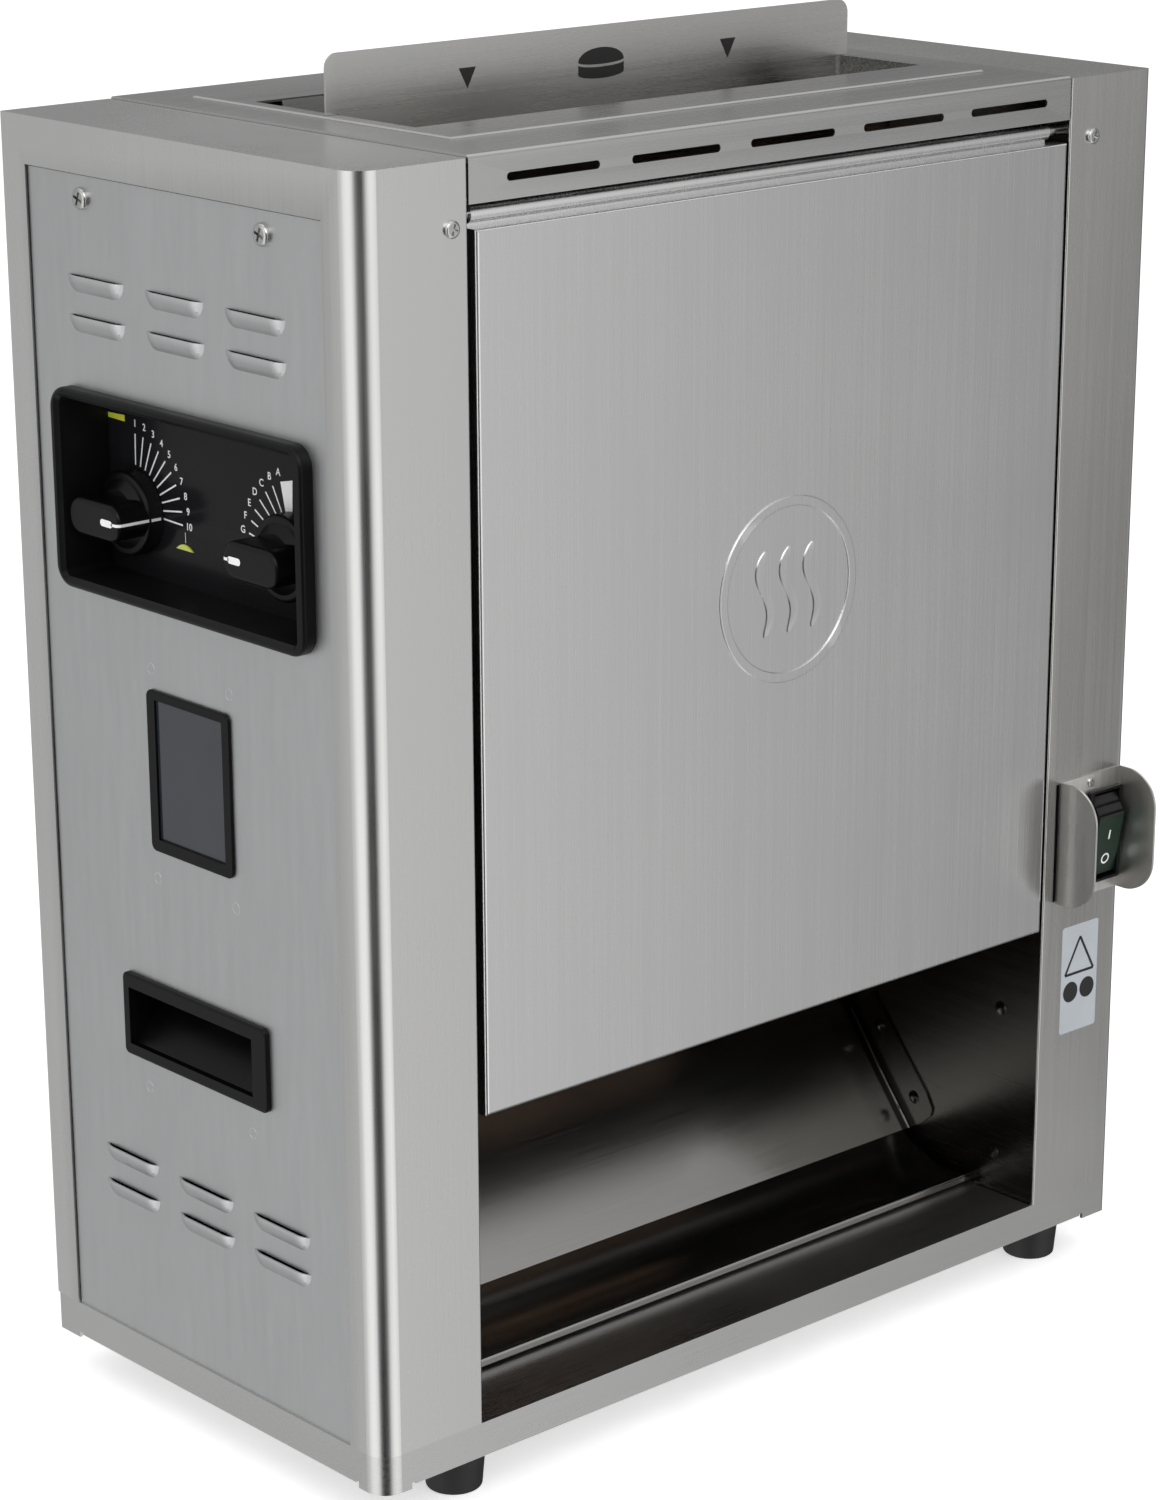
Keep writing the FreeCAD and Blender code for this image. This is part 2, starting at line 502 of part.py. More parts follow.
def roller_shaft(i, z, x):
    """A shaft with five grooved rollers that carry the belt."""
    y = CONVEYOR_Y[i]
    solids = [rod(SHAFT_R, (x[0], y, z), x[1] - x[0])]
    count, gap = 5, 12.0
    length = (BELT_X[1] - BELT_X[0] - 4 - gap * (count - 1)) / count
    for n in range(count):
        start = BELT_X[0] + 2 + n * (length + gap)
        roller = tube(ROLLER_R, SHAFT_R, (start, y, z), length)
        grooves = [tube(ROLLER_R + 1, ROLLER_R - 1.5, (start + k * length / 3 - 1, y, z), 2) for k in (1, 2)]
        solids.append(cut(roller, *grooves))
    return compound(solids)


# ---- gear train --------------------------------------------------------------------------
def gear(y, z, bore, phase=0.0):
    """Straight-toothed gear whose teeth are narrow enough to turn freely in mesh."""
    pitch_r = GEAR_TEETH * GEAR_MODULE / 2
    tip_r, root_r = pitch_r + 0.9 * GEAR_MODULE, pitch_r - 1.25 * GEAR_MODULE
    step = 2 * math.pi / GEAR_TEETH
    points = []
    for n in range(GEAR_TEETH):
        middle = n * step + phase
        for radius, offset in ((root_r, -0.31), (tip_r, -0.11), (tip_r, 0.11), (root_r, 0.31)):
            angle = middle + offset * step
            points.append((y + radius * math.cos(angle), z + radius * math.sin(angle)))
    solid = prism(points, "x", GEAR_X, GEAR_W)
    hub = rod(11.0, (GEAR_X - 3, y, z), GEAR_W + 3)
    lightening = [rod(3.2, (GEAR_X - 1, y + 16.5 * math.cos(a), z + 16.5 * math.sin(a)), GEAR_W + 2)
                  for a in [n * math.pi / 3 for n in range(6)]]
    return cut(fuse(solid, hub), rod(bore, (GEAR_X - 4, y, z), GEAR_W + 5), *lightening)


def motor_pinion():
    """The pinion on the gear motor's output shaft, in mesh with the front transfer gear."""
    y = TRANSFER_Y[0]
    phase = math.pi / GEAR_TEETH
    shaft_x = (GEARBOX_X[1] - 8, GEAR_X + GEAR_W + 1.5)
    shaft = rod(STUD_R, (shaft_x[0], y, PINION_Z), shaft_x[1] - shaft_x[0])
    return fuse(gear(y, PINION_Z, STUD_R, phase), shaft)


def gear_studs():
    """Studs on the bay wall, on which the two transfer gears turn, each with a thin head."""
    solids = []
    for y in TRANSFER_Y:
        stud = rod(STUD_R, (GEAR_X - 4.5, y, DRIVE_Z), BAY_LEFT - SHEET - GEAR_X + 4.5)
        head = rod(7.5, (GEAR_X - 6.5, y, DRIVE_Z), 2.5)
        solids.append(fuse(stud, head))
    return compound(solids)


def gear_motor():
    """Right-angle gearbox, with a bore that its output shaft turns in and a foot on the wall."""
    body = rounded(box(GEARBOX_X, GEARBOX_Y, GEARBOX_Z), X_AXIS, 5.0)
    body = body.makeFillet(1.5, edges_along(body, Z_AXIS, lambda p: p.x < GEARBOX_X[0] + 1))
    bore = rod(STUD_R + RUN, (GEARBOX_X[1] - 9, TRANSFER_Y[0], PINION_Z), 12)
    foot = box((GEARBOX_X[1], BAY_LEFT - SHEET), GEARBOX_Y, (GEARBOX_Z[0], GEARBOX_Z[0] + 0.5))
    return cut(fuse(body, foot), bore)


def motor_can():
    """The motor itself, below the gearbox, with a ventilated end cap."""
    can = rod(MOTOR_R, (MOTOR_X, MOTOR_Y, MOTOR_Z[0] + 8), MOTOR_Z[1] - MOTOR_Z[0] - 8, Z_AXIS)
    cap = Part.makeCone(MOTOR_R - 5, MOTOR_R, 8, V(MOTOR_X, MOTOR_Y, MOTOR_Z[0]), Z_AXIS)
    grooves = [tube(MOTOR_R + 1, MOTOR_R - 1, (MOTOR_X, MOTOR_Y, z), 2, Z_AXIS) for z in (74, 82, 90, 98)]
    return cut(fuse(can, cap), *grooves)


# ---- cooling fan -------------------------------------------------------------------------
def fan_housing():
    """Square axial fan frame with spokes that hold the hub bearing."""
    y, z = (FAN_Y - FAN_HALF, FAN_Y + FAN_HALF), (FAN_Z - FAN_HALF, FAN_Z + FAN_HALF)
    frame = rounded(box(FAN_X, y, z), X_AXIS, 4.0)
    frame = cut(frame, rod(FAN_HALF - 2, (FAN_X[0] - 1, FAN_Y, FAN_Z), FAN_X[1] - FAN_X[0] + 2))
    holes = [rod(2.2, (FAN_X[0] - 1, FAN_Y + a * 32.5, FAN_Z + b * 32.5), 30)
             for a in (-1, 1) for b in (-1, 1)]
    spokes = []
    for n in range(4):
        spoke = box((FAN_X[1] - 3, FAN_X[1]), (FAN_Y, FAN_Y + FAN_HALF - 1), (FAN_Z - 2, FAN_Z + 2))
        spoke.rotate(V(0, FAN_Y, FAN_Z), X_AXIS, 90.0 * n)
        spokes.append(spoke)
    boss = rod(13.0, (FAN_X[1] - 3, FAN_Y, FAN_Z), 3)
    pin = rod(2.0, (FAN_X[0] + 4, FAN_Y, FAN_Z), FAN_X[1] - FAN_X[0] - 5)
    return fuse(cut(frame, *holes), boss, pin, *spokes)


def fan_rotor():
    """Hub with seven twisted blades, turning on the housing's pin."""
    x0, x1 = FAN_X[0] + 2, FAN_X[1] - 4
    hub = rod(13.5, (x0, FAN_Y, FAN_Z), x1 - x0)
    blades = []
    for n in range(7):
        blade = box((-1.0, 1.0), (10.0, FAN_HALF - 4), (-8.0, 8.0))
        blade.rotate(V(0, 0, 0), Y_AXIS, 52.0)
        blade.translate(V((x0 + x1) / 2, FAN_Y, FAN_Z))
        blade.rotate(V(0, FAN_Y, FAN_Z), X_AXIS, n * 360.0 / 7)
        blades.append(blade)
    clear = rod(2.0 + RUN, (x0 + 1.9, FAN_Y, FAN_Z), x1 - x0)
    swept = rod(FAN_HALF - 3, (x0, FAN_Y, FAN_Z), x1 - x0)
    return cut(fuse(hub, *blades).common(swept), clear)


# ---- controls ----------------------------------------------------------------------------
def control_bezel():
    """Thick frame with a deep recess behind it, for the two knobs."""
    flange = rounded(box((-BEZEL_OUT, PANEL_FACE), BEZEL_Y, BEZEL_Z), X_AXIS, 10.0)
    rim = [e for e in flange.Edges if e.BoundBox.XMax < 0.01 - BEZEL_OUT]
    flange = flange.makeFillet(2.6, rim)
    well = rounded(box((0, DIAL_X), grown(RECESS_Y, 2), grown(RECESS_Z, 2)), X_AXIS, 1.0)
    opening = rounded(box((-BEZEL_OUT - 1, DIAL_X + 1), RECESS_Y, RECESS_Z), X_AXIS, 3.0)
    frame = cut(fuse(flange, well), opening)
    inner_rim = [e for e in frame.Edges if e.BoundBox.XMax < 0.01 - BEZEL_OUT
                 and RECESS_Y[0] - 0.1 < e.CenterOfMass.y < RECESS_Y[1] + 0.1
                 and RECESS_Z[0] - 0.1 < e.CenterOfMass.z < RECESS_Z[1] + 0.1]
    return frame.makeChamfer(BEZEL_SLOPE, inner_rim)


def dial_plate():
    plate = box((DIAL_X, DIAL_X + 1.6), grown(RECESS_Y, 2), grown(RECESS_Z, 2))
    return cut(plate, *[rod(CAM_R + RUN, (DIAL_X - 1, y, KNOB_Z), 4) for y in KNOB_Y])


def knob(y):
    """Round skirt with a grip bar across it. The bar lies level in this position."""
    back = DIAL_X - KNOB_GAP
    skirt = rod(KNOB_R, (back - SKIRT_T, y, KNOB_Z), SKIRT_T)
    skirt = skirt.makeFillet(1.8, [e for e in skirt.Edges if e.BoundBox.XMax < back - SKIRT_T + 0.01])
    neck = Part.makeCone(KNOB_R - 7.5, KNOB_R - 3.5, 3.0, V(back - SKIRT_T - 3.0, y, KNOB_Z), X_AXIS)
    bar = rounded(box((BAR_TOP, back - SKIRT_T + 0.5), (y - BAR_LEN / 2, y + BAR_LEN / 2),
                      (KNOB_Z - BAR_W / 2, KNOB_Z + BAR_W / 2)), X_AXIS, BAR_R)
    bar = bar.makeFillet(2.4, [e for e in bar.Edges if e.BoundBox.XMax < BAR_TOP + 0.01])
    return fuse(skirt, neck, bar).cut(rod(CAM_R, (6.0, y, KNOB_Z), 40))


def camshaft(y, way):
    """Shaft from a knob to the crank pin that moves the conveyor's arm."""
    crank_x = BAY_LEFT + 2.5
    shaft = rod(CAM_R, (6.0, y, KNOB_Z), crank_x - 6.0)
    crank = rod(CRANK_R, (crank_x, y, KNOB_Z), 5.0)
    turn = math.radians(45)
    pin_y, pin_z = y - way * CRANK_E * math.sin(turn), KNOB_Z - CRANK_E * math.cos(turn)
    pin = rod(CRANK_PIN_R, (crank_x, pin_y, pin_z), ARM_X[0] + ARM_T + 3 - crank_x)
    return fuse(shaft, crank, pin)


def display_bezel():
    """Slim frame of the display, with a neck through the panel."""
    frame = rounded(box((-0.6, PANEL_FACE), DISPLAY_Y, DISPLAY_Z), X_AXIS, 3.6)
    frame = frame.makeFillet(0.7, [e for e in frame.Edges if e.BoundBox.XMax < -0.59])
    neck = box((PANEL_FACE - 0.2, 4.5), grown(WINDOW_Y, 1.5), grown(WINDOW_Z, 1.5))
    return cut(fuse(frame, neck), box((-2, 6), WINDOW_Y, WINDOW_Z))


def display_window():
    return box((0.6, 2.6), WINDOW_Y, WINDOW_Z)


def control_board():
    """Circuit board behind the display, on four spacers, with its larger components."""
    board = box((8.0, 9.6), (88.0, 164.0), (256.0, 348.0))
    parts = [box((9.6, 17.0), (96.0, 118.0), (262.0, 280.0)),
             box((9.6, 21.0), (124.0, 146.0), (264.0, 282.0)),
             box((9.6, 13.0), (100.0, 130.0), (300.0, 318.0)),
             rod(6.0, (9.6, 148.0, 330.0), 14.0), rod(6.0, (9.6, 132.0, 332.0), 14.0)]
    spacers = [rod(2.5, (PANEL_FACE + SHEET, y, z), 8.0 - PANEL_FACE - SHEET)
               for y in (92.0, 160.0) for z in (260.0, 344.0)]
    return compound([board] + parts + spacers)


def pocket_handle():
    """Recessed pocket handle: a rim on the panel and a tub that is deeper at the top."""
    rim = rounded(box((-HANDLE_OUT, PANEL_FACE), HANDLE_Y, HANDLE_Z), X_AXIS, 3.0)
    rim = rim.makeFillet(1.2, [e for e in rim.Edges if e.BoundBox.XMax < 0.01 - HANDLE_OUT])
    tub = box((0, HANDLE_DEEP), grown(POCKET_Y, 2), grown(POCKET_Z, 2))
    low, high = POCKET_Z
    outline = [(-3, low), (-3, high), (HANDLE_DEEP - 2, high), (HANDLE_DEEP - 2, high - 11), (1.5, low)]
    pocket = prism(outline, "y", POCKET_Y[0], POCKET_Y[1] - POCKET_Y[0])
    under = prism([(3.0, low - 3), (HANDLE_DEEP + 1, low - 3), (HANDLE_DEEP + 1, high - 15)],
                  "y", POCKET_Y[0] - 3, POCKET_Y[1] - POCKET_Y[0] + 6)
    return cut(fuse(rim, tub), pocket, under)


# ---- power switch ------------------------------------------------------------------------
def switch_guard():
    """Bent guard: a base plate round the switch and an ear standing out on each side."""
    base = box(GUARD_X, (-GUARD_T, 0), GUARD_Z)
    ears = []
    for x in (GUARD_X[0], GUARD_X[1] - GUARD_T):
        ear = rounded(box((x, x + GUARD_T), (-GUARD_OUT, 0), GUARD_Z), X_AXIS, GUARD_R,
                      lambda p: p.y < 1 - GUARD_OUT)
        ears.append(ear)
    hole = box(grown(SWITCH_X, -SWITCH_RIM), (-GUARD_T - 1, 1), grown(SWITCH_Z, -SWITCH_RIM))
    return cut(fuse(base, *ears), hole)


def power_switch():
    """Switch body with a rim in front of the guard, hollow where the rocker tilts."""
    front = -GUARD_T - 2.5
    rim = rounded(box(SWITCH_X, (front, -GUARD_T), SWITCH_Z), Y_AXIS, 1.0)
    body = box(grown(SWITCH_X, -SWITCH_RIM), (-GUARD_T - 0.5, SWITCH_DEPTH), grown(SWITCH_Z, -SWITCH_RIM))
    well = box(grown(ROCKER_X, 0.4), (front - 1, 9.6), grown(SWITCH_Z, -1.4))
    blades = [box((x - 3.2, x + 3.2), (SWITCH_DEPTH - 0.1, 36.0), (z - 0.4, z + 0.4))
              for x in (462.8, 474.2) for z in (192.0, 207.0, 222.0)]
    return fuse(cut(fuse(rim, body), well), *blades)


def rocker_body():
    """The whole rocker, ridged near its upper end, with a pivot pin on each side."""
    low, high = ROCKER_Z
    outline = [(-1.8, low), (-7.6, ROCKER_RIDGE_Z), (-1.2, high), (3.0, high), (7.0, high - 14),
               (7.0, low + 15), (3.0, low)]
    body = prism(outline, "x", ROCKER_X[0], ROCKER_X[1] - ROCKER_X[0])
    pin_x = grown(ROCKER_X, 0.3)
    return fuse(body, rod(1.5, (pin_x[0], ROCKER_PIVOT_Y, ROCKER_MID_Z), pin_x[1] - pin_x[0]))


def rocker():
    """The green part, up to the ridge."""
    return rocker_body().common(box(grown(ROCKER_X, 2), (-20, 20), (ROCKER_Z[0] - 2, ROCKER_RIDGE_Z)))


def rocker_grip():
    """The black part above the ridge, with two level grooves across its face."""
    grip = rocker_body().common(box(grown(ROCKER_X, 2), (-20, 20), (ROCKER_RIDGE_Z, ROCKER_Z[1] + 2)))
    grooves = []
    for z in (ROCKER_RIDGE_Z + 0.8, ROCKER_RIDGE_Z + 5.0):
        front = -7.6 + 6.4 * (z - ROCKER_RIDGE_Z) / (ROCKER_Z[1] - ROCKER_RIDGE_Z)
        grooves.append(box(grown(ROCKER_X, 1), (front - 2, front + 1.0), (z, z + 1.2)))
    return cut(grip, *grooves)


# ---- chute and fasteners -----------------------------------------------------------------
def landing_chute():
    """Curved landing chute between the bay walls, with a hem along its lip, and a flange up
    each wall that is held by two domed rivets and meets the plate in a rounded bend."""
    top = [V(BAY_LEFT, y, z) for y, z in ((DEPTH - SHEET, 172.0), (205.0, 172.0), (192.0, 166.6),
                                          CHUTE_TOP, CHUTE_BEND)]
    lip, dip = V(BAY_LEFT, *CHUTE_LIP), V(BAY_LEFT, *CHUTE_DIP)
    thick = V(0, 0, -1.5 * SHEET)
    below = [p + thick for p in reversed(top)]
    edges = [Part.LineSegment(a, b).toShape() for a, b in zip(top, top[1:])]
    edges.append(Part.Arc(top[-1], dip, lip).toShape())
    edges.append(Part.LineSegment(lip, lip + thick).toShape())
    edges.append(Part.Arc(lip + thick, dip + thick, below[0]).toShape())
    edges += [Part.LineSegment(a, b).toShape() for a, b in zip(below, below[1:])]
    edges.append(Part.LineSegment(below[-1], top[0]).toShape())
    sheet = Part.Face(Part.Wire(edges)).extrude(X_AXIS * (BAY_RIGHT - BAY_LEFT))

    hem_back = (lip.y + HEM_LEN, lip.z - 0.9)
    hem = prism([(lip.y, lip.z), hem_back, (hem_back[0], hem_back[1] - HEM_H), (lip.y, lip.z - HEM_H)],
                "x", BAY_LEFT, BAY_RIGHT - BAY_LEFT)
    plate = rounded(fuse(sheet, hem), X_AXIS, 1.3, lambda p: p.y < lip.y + 0.01)

    outline = [CHUTE_TOP, (114.3, 102.3), (75.0, 56.5), (70.5, 48.5), (71.6, 44.5), (82.2, 34.7), CHUTE_BEND]
    flanges = [prism(outline, "x", x, SHEET) for x in (BAY_LEFT, BAY_RIGHT - SHEET)]
    chute = fuse(plate, *flanges)
    inside = (BAY_LEFT + SHEET, BAY_RIGHT - SHEET)
    run = V(0, CHUTE_TOP[0] - CHUTE_BEND[0], CHUTE_TOP[1] - CHUTE_BEND[1]).normalize()
    bends = edges_along(chute, run, lambda p: min(abs(p.x - x) for x in inside) < 0.01
                        and abs((p - top[-1]).cross(run).x) < 0.01)
    chute = chute.makeFillet(BEND_R, bends)
    rivets = [dome(3.6, 1.0, (x, y, z), way) for x, way in zip(inside, (1, -1)) for y, z in CHUTE_RIVETS]
    return fuse(chute, *rivets)


def pan_screw(radius, height, place, turn_axis, turn):
    """A pan head with a cross recess, facing -X before it is turned."""
    head = rod(radius, (-height, 0, 0), height)
    head = head.makeFillet(height * 0.6, [e for e in head.Edges if e.BoundBox.XMax < 0.01 - height])
    deep, arm_len, arm_w = (-height - 1, -height * 0.4), radius * 0.62, radius * 0.13
    cross = [box(deep, (-arm_len, arm_len), (-arm_w, arm_w)), box(deep, (-arm_w, arm_w), (-arm_len, arm_len))]
    head = cut(head, *cross)
    head.rotate(V(0, 0, 0), X_AXIS, 20.0)
    head.rotate(V(0, 0, 0), turn_axis, turn)
    head.translate(V(*place))
    return head


def panel_screws():
    """The larger screws at the top of both side panels."""
    solids = []
    for y in (62.0, 190.0):
        solids.append(pan_screw(4.95, 2.6, (PANEL_FACE, y, 552.0), Z_AXIS, 0.0))
        solids.append(pan_screw(4.95, 2.6, (WIDTH - PANEL_FACE, y, 552.0), Z_AXIS, 180.0))
    return compound(solids)


def case_screws():
    """Smaller screws: on the front columns, in the guard's plate and round the rear cover."""
    solids = [pan_screw(3.8, 1.8, (x, 0, 556.0), Z_AXIS, 90.0) for x in (49.7, 443.0)]
    solids.append(pan_screw(2.4, 0.9, (458.5, -GUARD_T, 235.8), Z_AXIS, 90.0))
    for x in (74.0, 412.0):
        for z in (34.0, 290.0, 545.0):
            solids.append(pan_screw(3.8, 1.8, (x, DEPTH, z), Z_AXIS, -90.0))
    return compound(solids)


# ---- electrical --------------------------------------------------------------------------
def terminal_block():
    """Mains terminal block on the right bay wall, in five stepped bays."""
    solids = []
    for n in range(5):
        y = 150.0 + n * 12.0
        bay = fuse(box((BAY_RIGHT + SHEET, BAY_RIGHT + 18), (y, y + 11.6), (120.0, 150.0)),
                   box((BAY_RIGHT + 18, BAY_RIGHT + 26), (y, y + 11.6), (129.0, 141.0)))
        wells = [rod(3.0, (BAY_RIGHT + 10, y + 5.8, z), 10) for z in (124.5, 145.5)]
        solids.append(cut(bay, *wells))
    return compound(solids)


def cable_gland():
    """Gland for the mains lead: a threaded body, a hexagon inside and a domed nut outside."""
    y = DEPTH
    body = rod(8.0, (GLAND_X, y - 12, GLAND_Z), 14, Y_AXIS)
    flats = [(GLAND_X + 12 * math.cos(n * math.pi / 3), GLAND_Z + 12 * math.sin(n * math.pi / 3))
             for n in range(6)]
    inner_nut = prism(flats, "y", y - SHEET - 5, 5.0)
    outer_nut = prism(flats, "y", y, 6.0)
    dome = Part.makeCone(10.2, 7.5, GLAND_OUT - 6, V(GLAND_X, y + 6, GLAND_Z), Y_AXIS)
    return cut(fuse(body, inner_nut, outer_nut, dome),
               rod(GLAND_BORE_R, (GLAND_X, y - 13, GLAND_Z), 30, Y_AXIS))


# ---- the whole part ----------------------------------------------------------------------
def build():
    nodes = {"base_tray": base_tray(), "feet": feet(), "left_housing": left_housing(),
             "right_housing": right_housing(), "left_panel": left_panel(),
             "right_panel": right_panel(), "left_wall": bay_wall(True),
             "right_wall": bay_wall(False), "rear_cover": rear_cover(), "top_cover": top_cover(),
             "feed_frame": feed_frame(), "divider_plate": divider_plate(),
             "hinge_rod": hinge_rod(), "front_door": front_door(),
             "landing_chute": landing_chute(),
             "platen_front": platen_front(), "platen_rear": platen_rear(),
             "platen_rails": platen_rails(), "platen_standoffs": platen_standoffs(),
             "motor_pinion": motor_pinion(), "gear_studs": gear_studs(),
             "gear_motor": gear_motor(), "motor_can": motor_can(),
             "fan_housing": fan_housing(), "fan_rotor": fan_rotor(),
             "control_board": control_board(), "terminal_block": terminal_block(),
             "control_bezel": control_bezel(), "dial_plate": dial_plate(),
             "display_bezel": display_bezel(), "display_window": display_window(),
             "switch_guard": switch_guard(), "power_switch": power_switch(), "rocker": rocker(),
             "rocker_grip": rocker_grip(),
             "panel_screws": panel_screws(), "case_screws": case_screws(),
             "cable_gland": cable_gland()}
    for name, run in HEATERS.items():
        nodes[name] = heater(*run)
    handle = pocket_handle()
    nodes["pocket_handle_left"] = handle
    nodes["pocket_handle_right"] = mirrored(handle)
    for i, place in enumerate(("front", "rear")):
        way = 1 if i == 0 else -1
        y = CONVEYOR_Y[i]
        nodes[place + "_conveyor_plates"] = conveyor_plates(i)
        nodes[place + "_conveyor_ties"] = conveyor_ties(i)
        nodes[place + "_belt"] = belt(i)
        nodes[place + "_drive_shaft"] = roller_shaft(i, DRIVE_Z, (GEAR_X - 3, BAY_RIGHT + 8))
        nodes[place + "_idler_shaft"] = roller_shaft(i, IDLER_Z, (ARM_X[0] - 1.2, ARM_X[1] + 3.2))
        nodes[place + "_drive_gear"] = gear(y, DRIVE_Z, SHAFT_R)
        nodes[place + "_transfer_gear"] = gear(TRANSFER_Y[i], DRIVE_Z, STUD_R + RUN)
        nodes["knob_" + place] = knob(KNOB_Y[i])
        nodes["camshaft_" + place] = camshaft(KNOB_Y[i], way)
    return nodes


def write(nodes):
    os.makedirs("parts", exist_ok=True)
    for name, shape in nodes.items():
        solids = [s.translated(-ORIGIN) for s in shape.Solids]
        whole = solids[0] if len(solids) == 1 else compound(solids)
        whole.exportStep("parts/" + name + ".step")
        bad = [n for n, s in enumerate(solids) if not s.isValid() or s.Volume <= 0]
        print(name, len(solids), "solids", round(whole.Volume), "mm3", "INVALID" if bad else "")


write(build())
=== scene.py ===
"""Looks of the vertical contact toaster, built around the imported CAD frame. Metres throughout."""
import json
import math

import bmesh
import bpy
from mathutils import Matrix, Vector


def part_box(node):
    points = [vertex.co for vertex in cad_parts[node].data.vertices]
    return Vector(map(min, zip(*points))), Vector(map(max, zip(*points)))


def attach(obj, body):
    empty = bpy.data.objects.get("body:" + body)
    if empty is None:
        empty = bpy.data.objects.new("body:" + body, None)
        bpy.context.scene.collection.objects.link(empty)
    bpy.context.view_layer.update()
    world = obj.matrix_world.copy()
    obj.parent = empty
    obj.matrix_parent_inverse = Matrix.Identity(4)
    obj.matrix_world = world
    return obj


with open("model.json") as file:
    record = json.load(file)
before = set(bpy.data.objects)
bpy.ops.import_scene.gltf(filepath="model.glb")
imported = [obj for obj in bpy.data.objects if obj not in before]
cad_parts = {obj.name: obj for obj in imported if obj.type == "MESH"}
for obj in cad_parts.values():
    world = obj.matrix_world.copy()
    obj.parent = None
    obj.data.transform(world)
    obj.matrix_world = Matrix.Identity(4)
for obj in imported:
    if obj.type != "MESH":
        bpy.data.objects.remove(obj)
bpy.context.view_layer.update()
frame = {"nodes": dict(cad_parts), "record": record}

MM = 0.001
SKIN = 0.05 * MM            # how far printing stands in front of the face that carries it

# Grain of brushed sheet: how finely the noise is squeezed along X, Y and Z.
UPRIGHT, ACROSS, INWARD = (1600, 1600, 14), (14, 1600, 1600), (1600, 14, 1600)


# ---- shader helpers ----------------------------------------------------------------------
class Shader:
    """A Principled material and short ways to add the nodes that drive it."""

    def __init__(self, name, colour=(0.5, 0.5, 0.5), metallic=0.0, roughness=0.5, **constants):
        self.material = bpy.data.materials.new(name)
        self.material.use_nodes = True
        self.tree = self.material.node_tree
        self.surface = self.tree.nodes["Principled BSDF"]
        self.set("Base Color", (*colour, 1.0))
        self.set("Metallic", metallic)
        self.set("Roughness", roughness)
        for socket, value in constants.items():
            self.set(socket.replace("_", " "), value)
        self.coords = self.tree.nodes.new("ShaderNodeTexCoord").outputs["Object"]

    def set(self, socket, value):
        self.surface.inputs[socket].default_value = value

    def link(self, output, socket):
        self.tree.links.new(output, self.surface.inputs[socket])

    def node(self, kind, **inputs):
        made = self.tree.nodes.new("ShaderNode" + kind)
        for key, value in inputs.items():
            target = made.inputs[key.replace("_", " ")]
            if hasattr(value, "is_output"):
                self.tree.links.new(value, target)
            else:
                target.default_value = value
        return made

    def stretched(self, scale):
        mapping = self.node("Mapping", Vector=self.coords, Scale=scale)
        return mapping.outputs["Vector"]

    def noise(self, scale, stretch=(1, 1, 1), detail=3.0, rough=0.55):
        made = self.node("TexNoise", Vector=self.stretched(stretch), Scale=scale, Detail=detail)
        made.inputs["Roughness"].default_value = rough
        return made.outputs["Fac"]

    def span(self, fac, low, high, from_low=0.3, from_high=0.7):
        made = self.node("MapRange", Value=fac)
        made.inputs["From Min"].default_value = from_low
        made.inputs["From Max"].default_value = from_high
        made.inputs["To Min"].default_value = low
        made.inputs["To Max"].default_value = high
        return made.outputs["Result"]

    def blend(self, fac, first, second, mode="MIX"):
        made = self.tree.nodes.new("ShaderNodeMix")
        made.data_type = "RGBA"
        made.blend_type = mode
        for index, value in ((0, fac), (6, first), (7, second)):
            if hasattr(value, "is_output"):
                self.tree.links.new(value, made.inputs[index])
            elif index:
                made.inputs[index].default_value = (*value, 1.0)
            else:
                made.inputs[index].default_value = value
        return made.outputs[2]

    def math(self, kind, first, second):
        made = self.tree.nodes.new("ShaderNodeMath")
        made.operation = kind
        for index, value in enumerate((first, second)):
            if hasattr(value, "is_output"):
                self.tree.links.new(value, made.inputs[index])
            else:
                made.inputs[index].default_value = value
        return made.outputs[0]

    def edges(self, low=0.50, high=0.56):
        """1 on convex edges, 0 on flat faces."""
        pointy = self.tree.nodes.new("ShaderNodeNewGeometry").outputs["Pointiness"]
        return self.span(pointy, 0.0, 1.0, low, high)

    def bump(self, height, strength, distance=0.0002, normal=None):
        made = self.node("Bump", Height=height, Strength=strength, Distance=distance)
        if normal is not None:
            self.tree.links.new(normal, made.inputs["Normal"])
        self.link(made.outputs["Normal"], "Normal")
        return made.outputs["Normal"]


def brushed(name, colour, grain, roughness=0.34, contrast=0.10, smudge=0.05, bump=0.06):
    """Brushed stainless steel, its lines lying along the axis with the smallest number in grain, with a
    painted highlight on its convex edges.
    """
    s = Shader(name, colour, 1.0, roughness)
    fine = s.noise(1.0, grain, detail=4.0, rough=0.7)
    lines = s.noise(1.0, [g * 0.31 for g in grain], detail=2.0, rough=0.6)
    cloud = s.noise(7.0, detail=3.0)
    both = s.math("MULTIPLY", s.math("ADD", fine, lines), 0.5)
    dark = tuple(c * (1 - contrast) for c in colour)
    light = tuple(min(1.0, c * (1 + contrast)) for c in colour)
    tone = s.blend(s.span(both, 0.0, 1.0, 0.38, 0.62), dark, light)
    # Painted highlight: convex edges get a lighter colour, standing in for the gleam along rounded sheet
    # edges.
    painted_edge_highlight = tuple(min(1.0, c * 1.18 + 0.04) for c in colour)
    s.link(s.blend(s.edges(0.52, 0.60), tone, painted_edge_highlight), "Base Color")
    rough = s.math("ADD", s.span(both, roughness - 0.03, roughness + 0.03, 0.38, 0.62),
                   s.span(cloud, -smudge, smudge))
    s.link(rough, "Roughness")
    s.bump(both, bump, 0.00015)
    return s.material


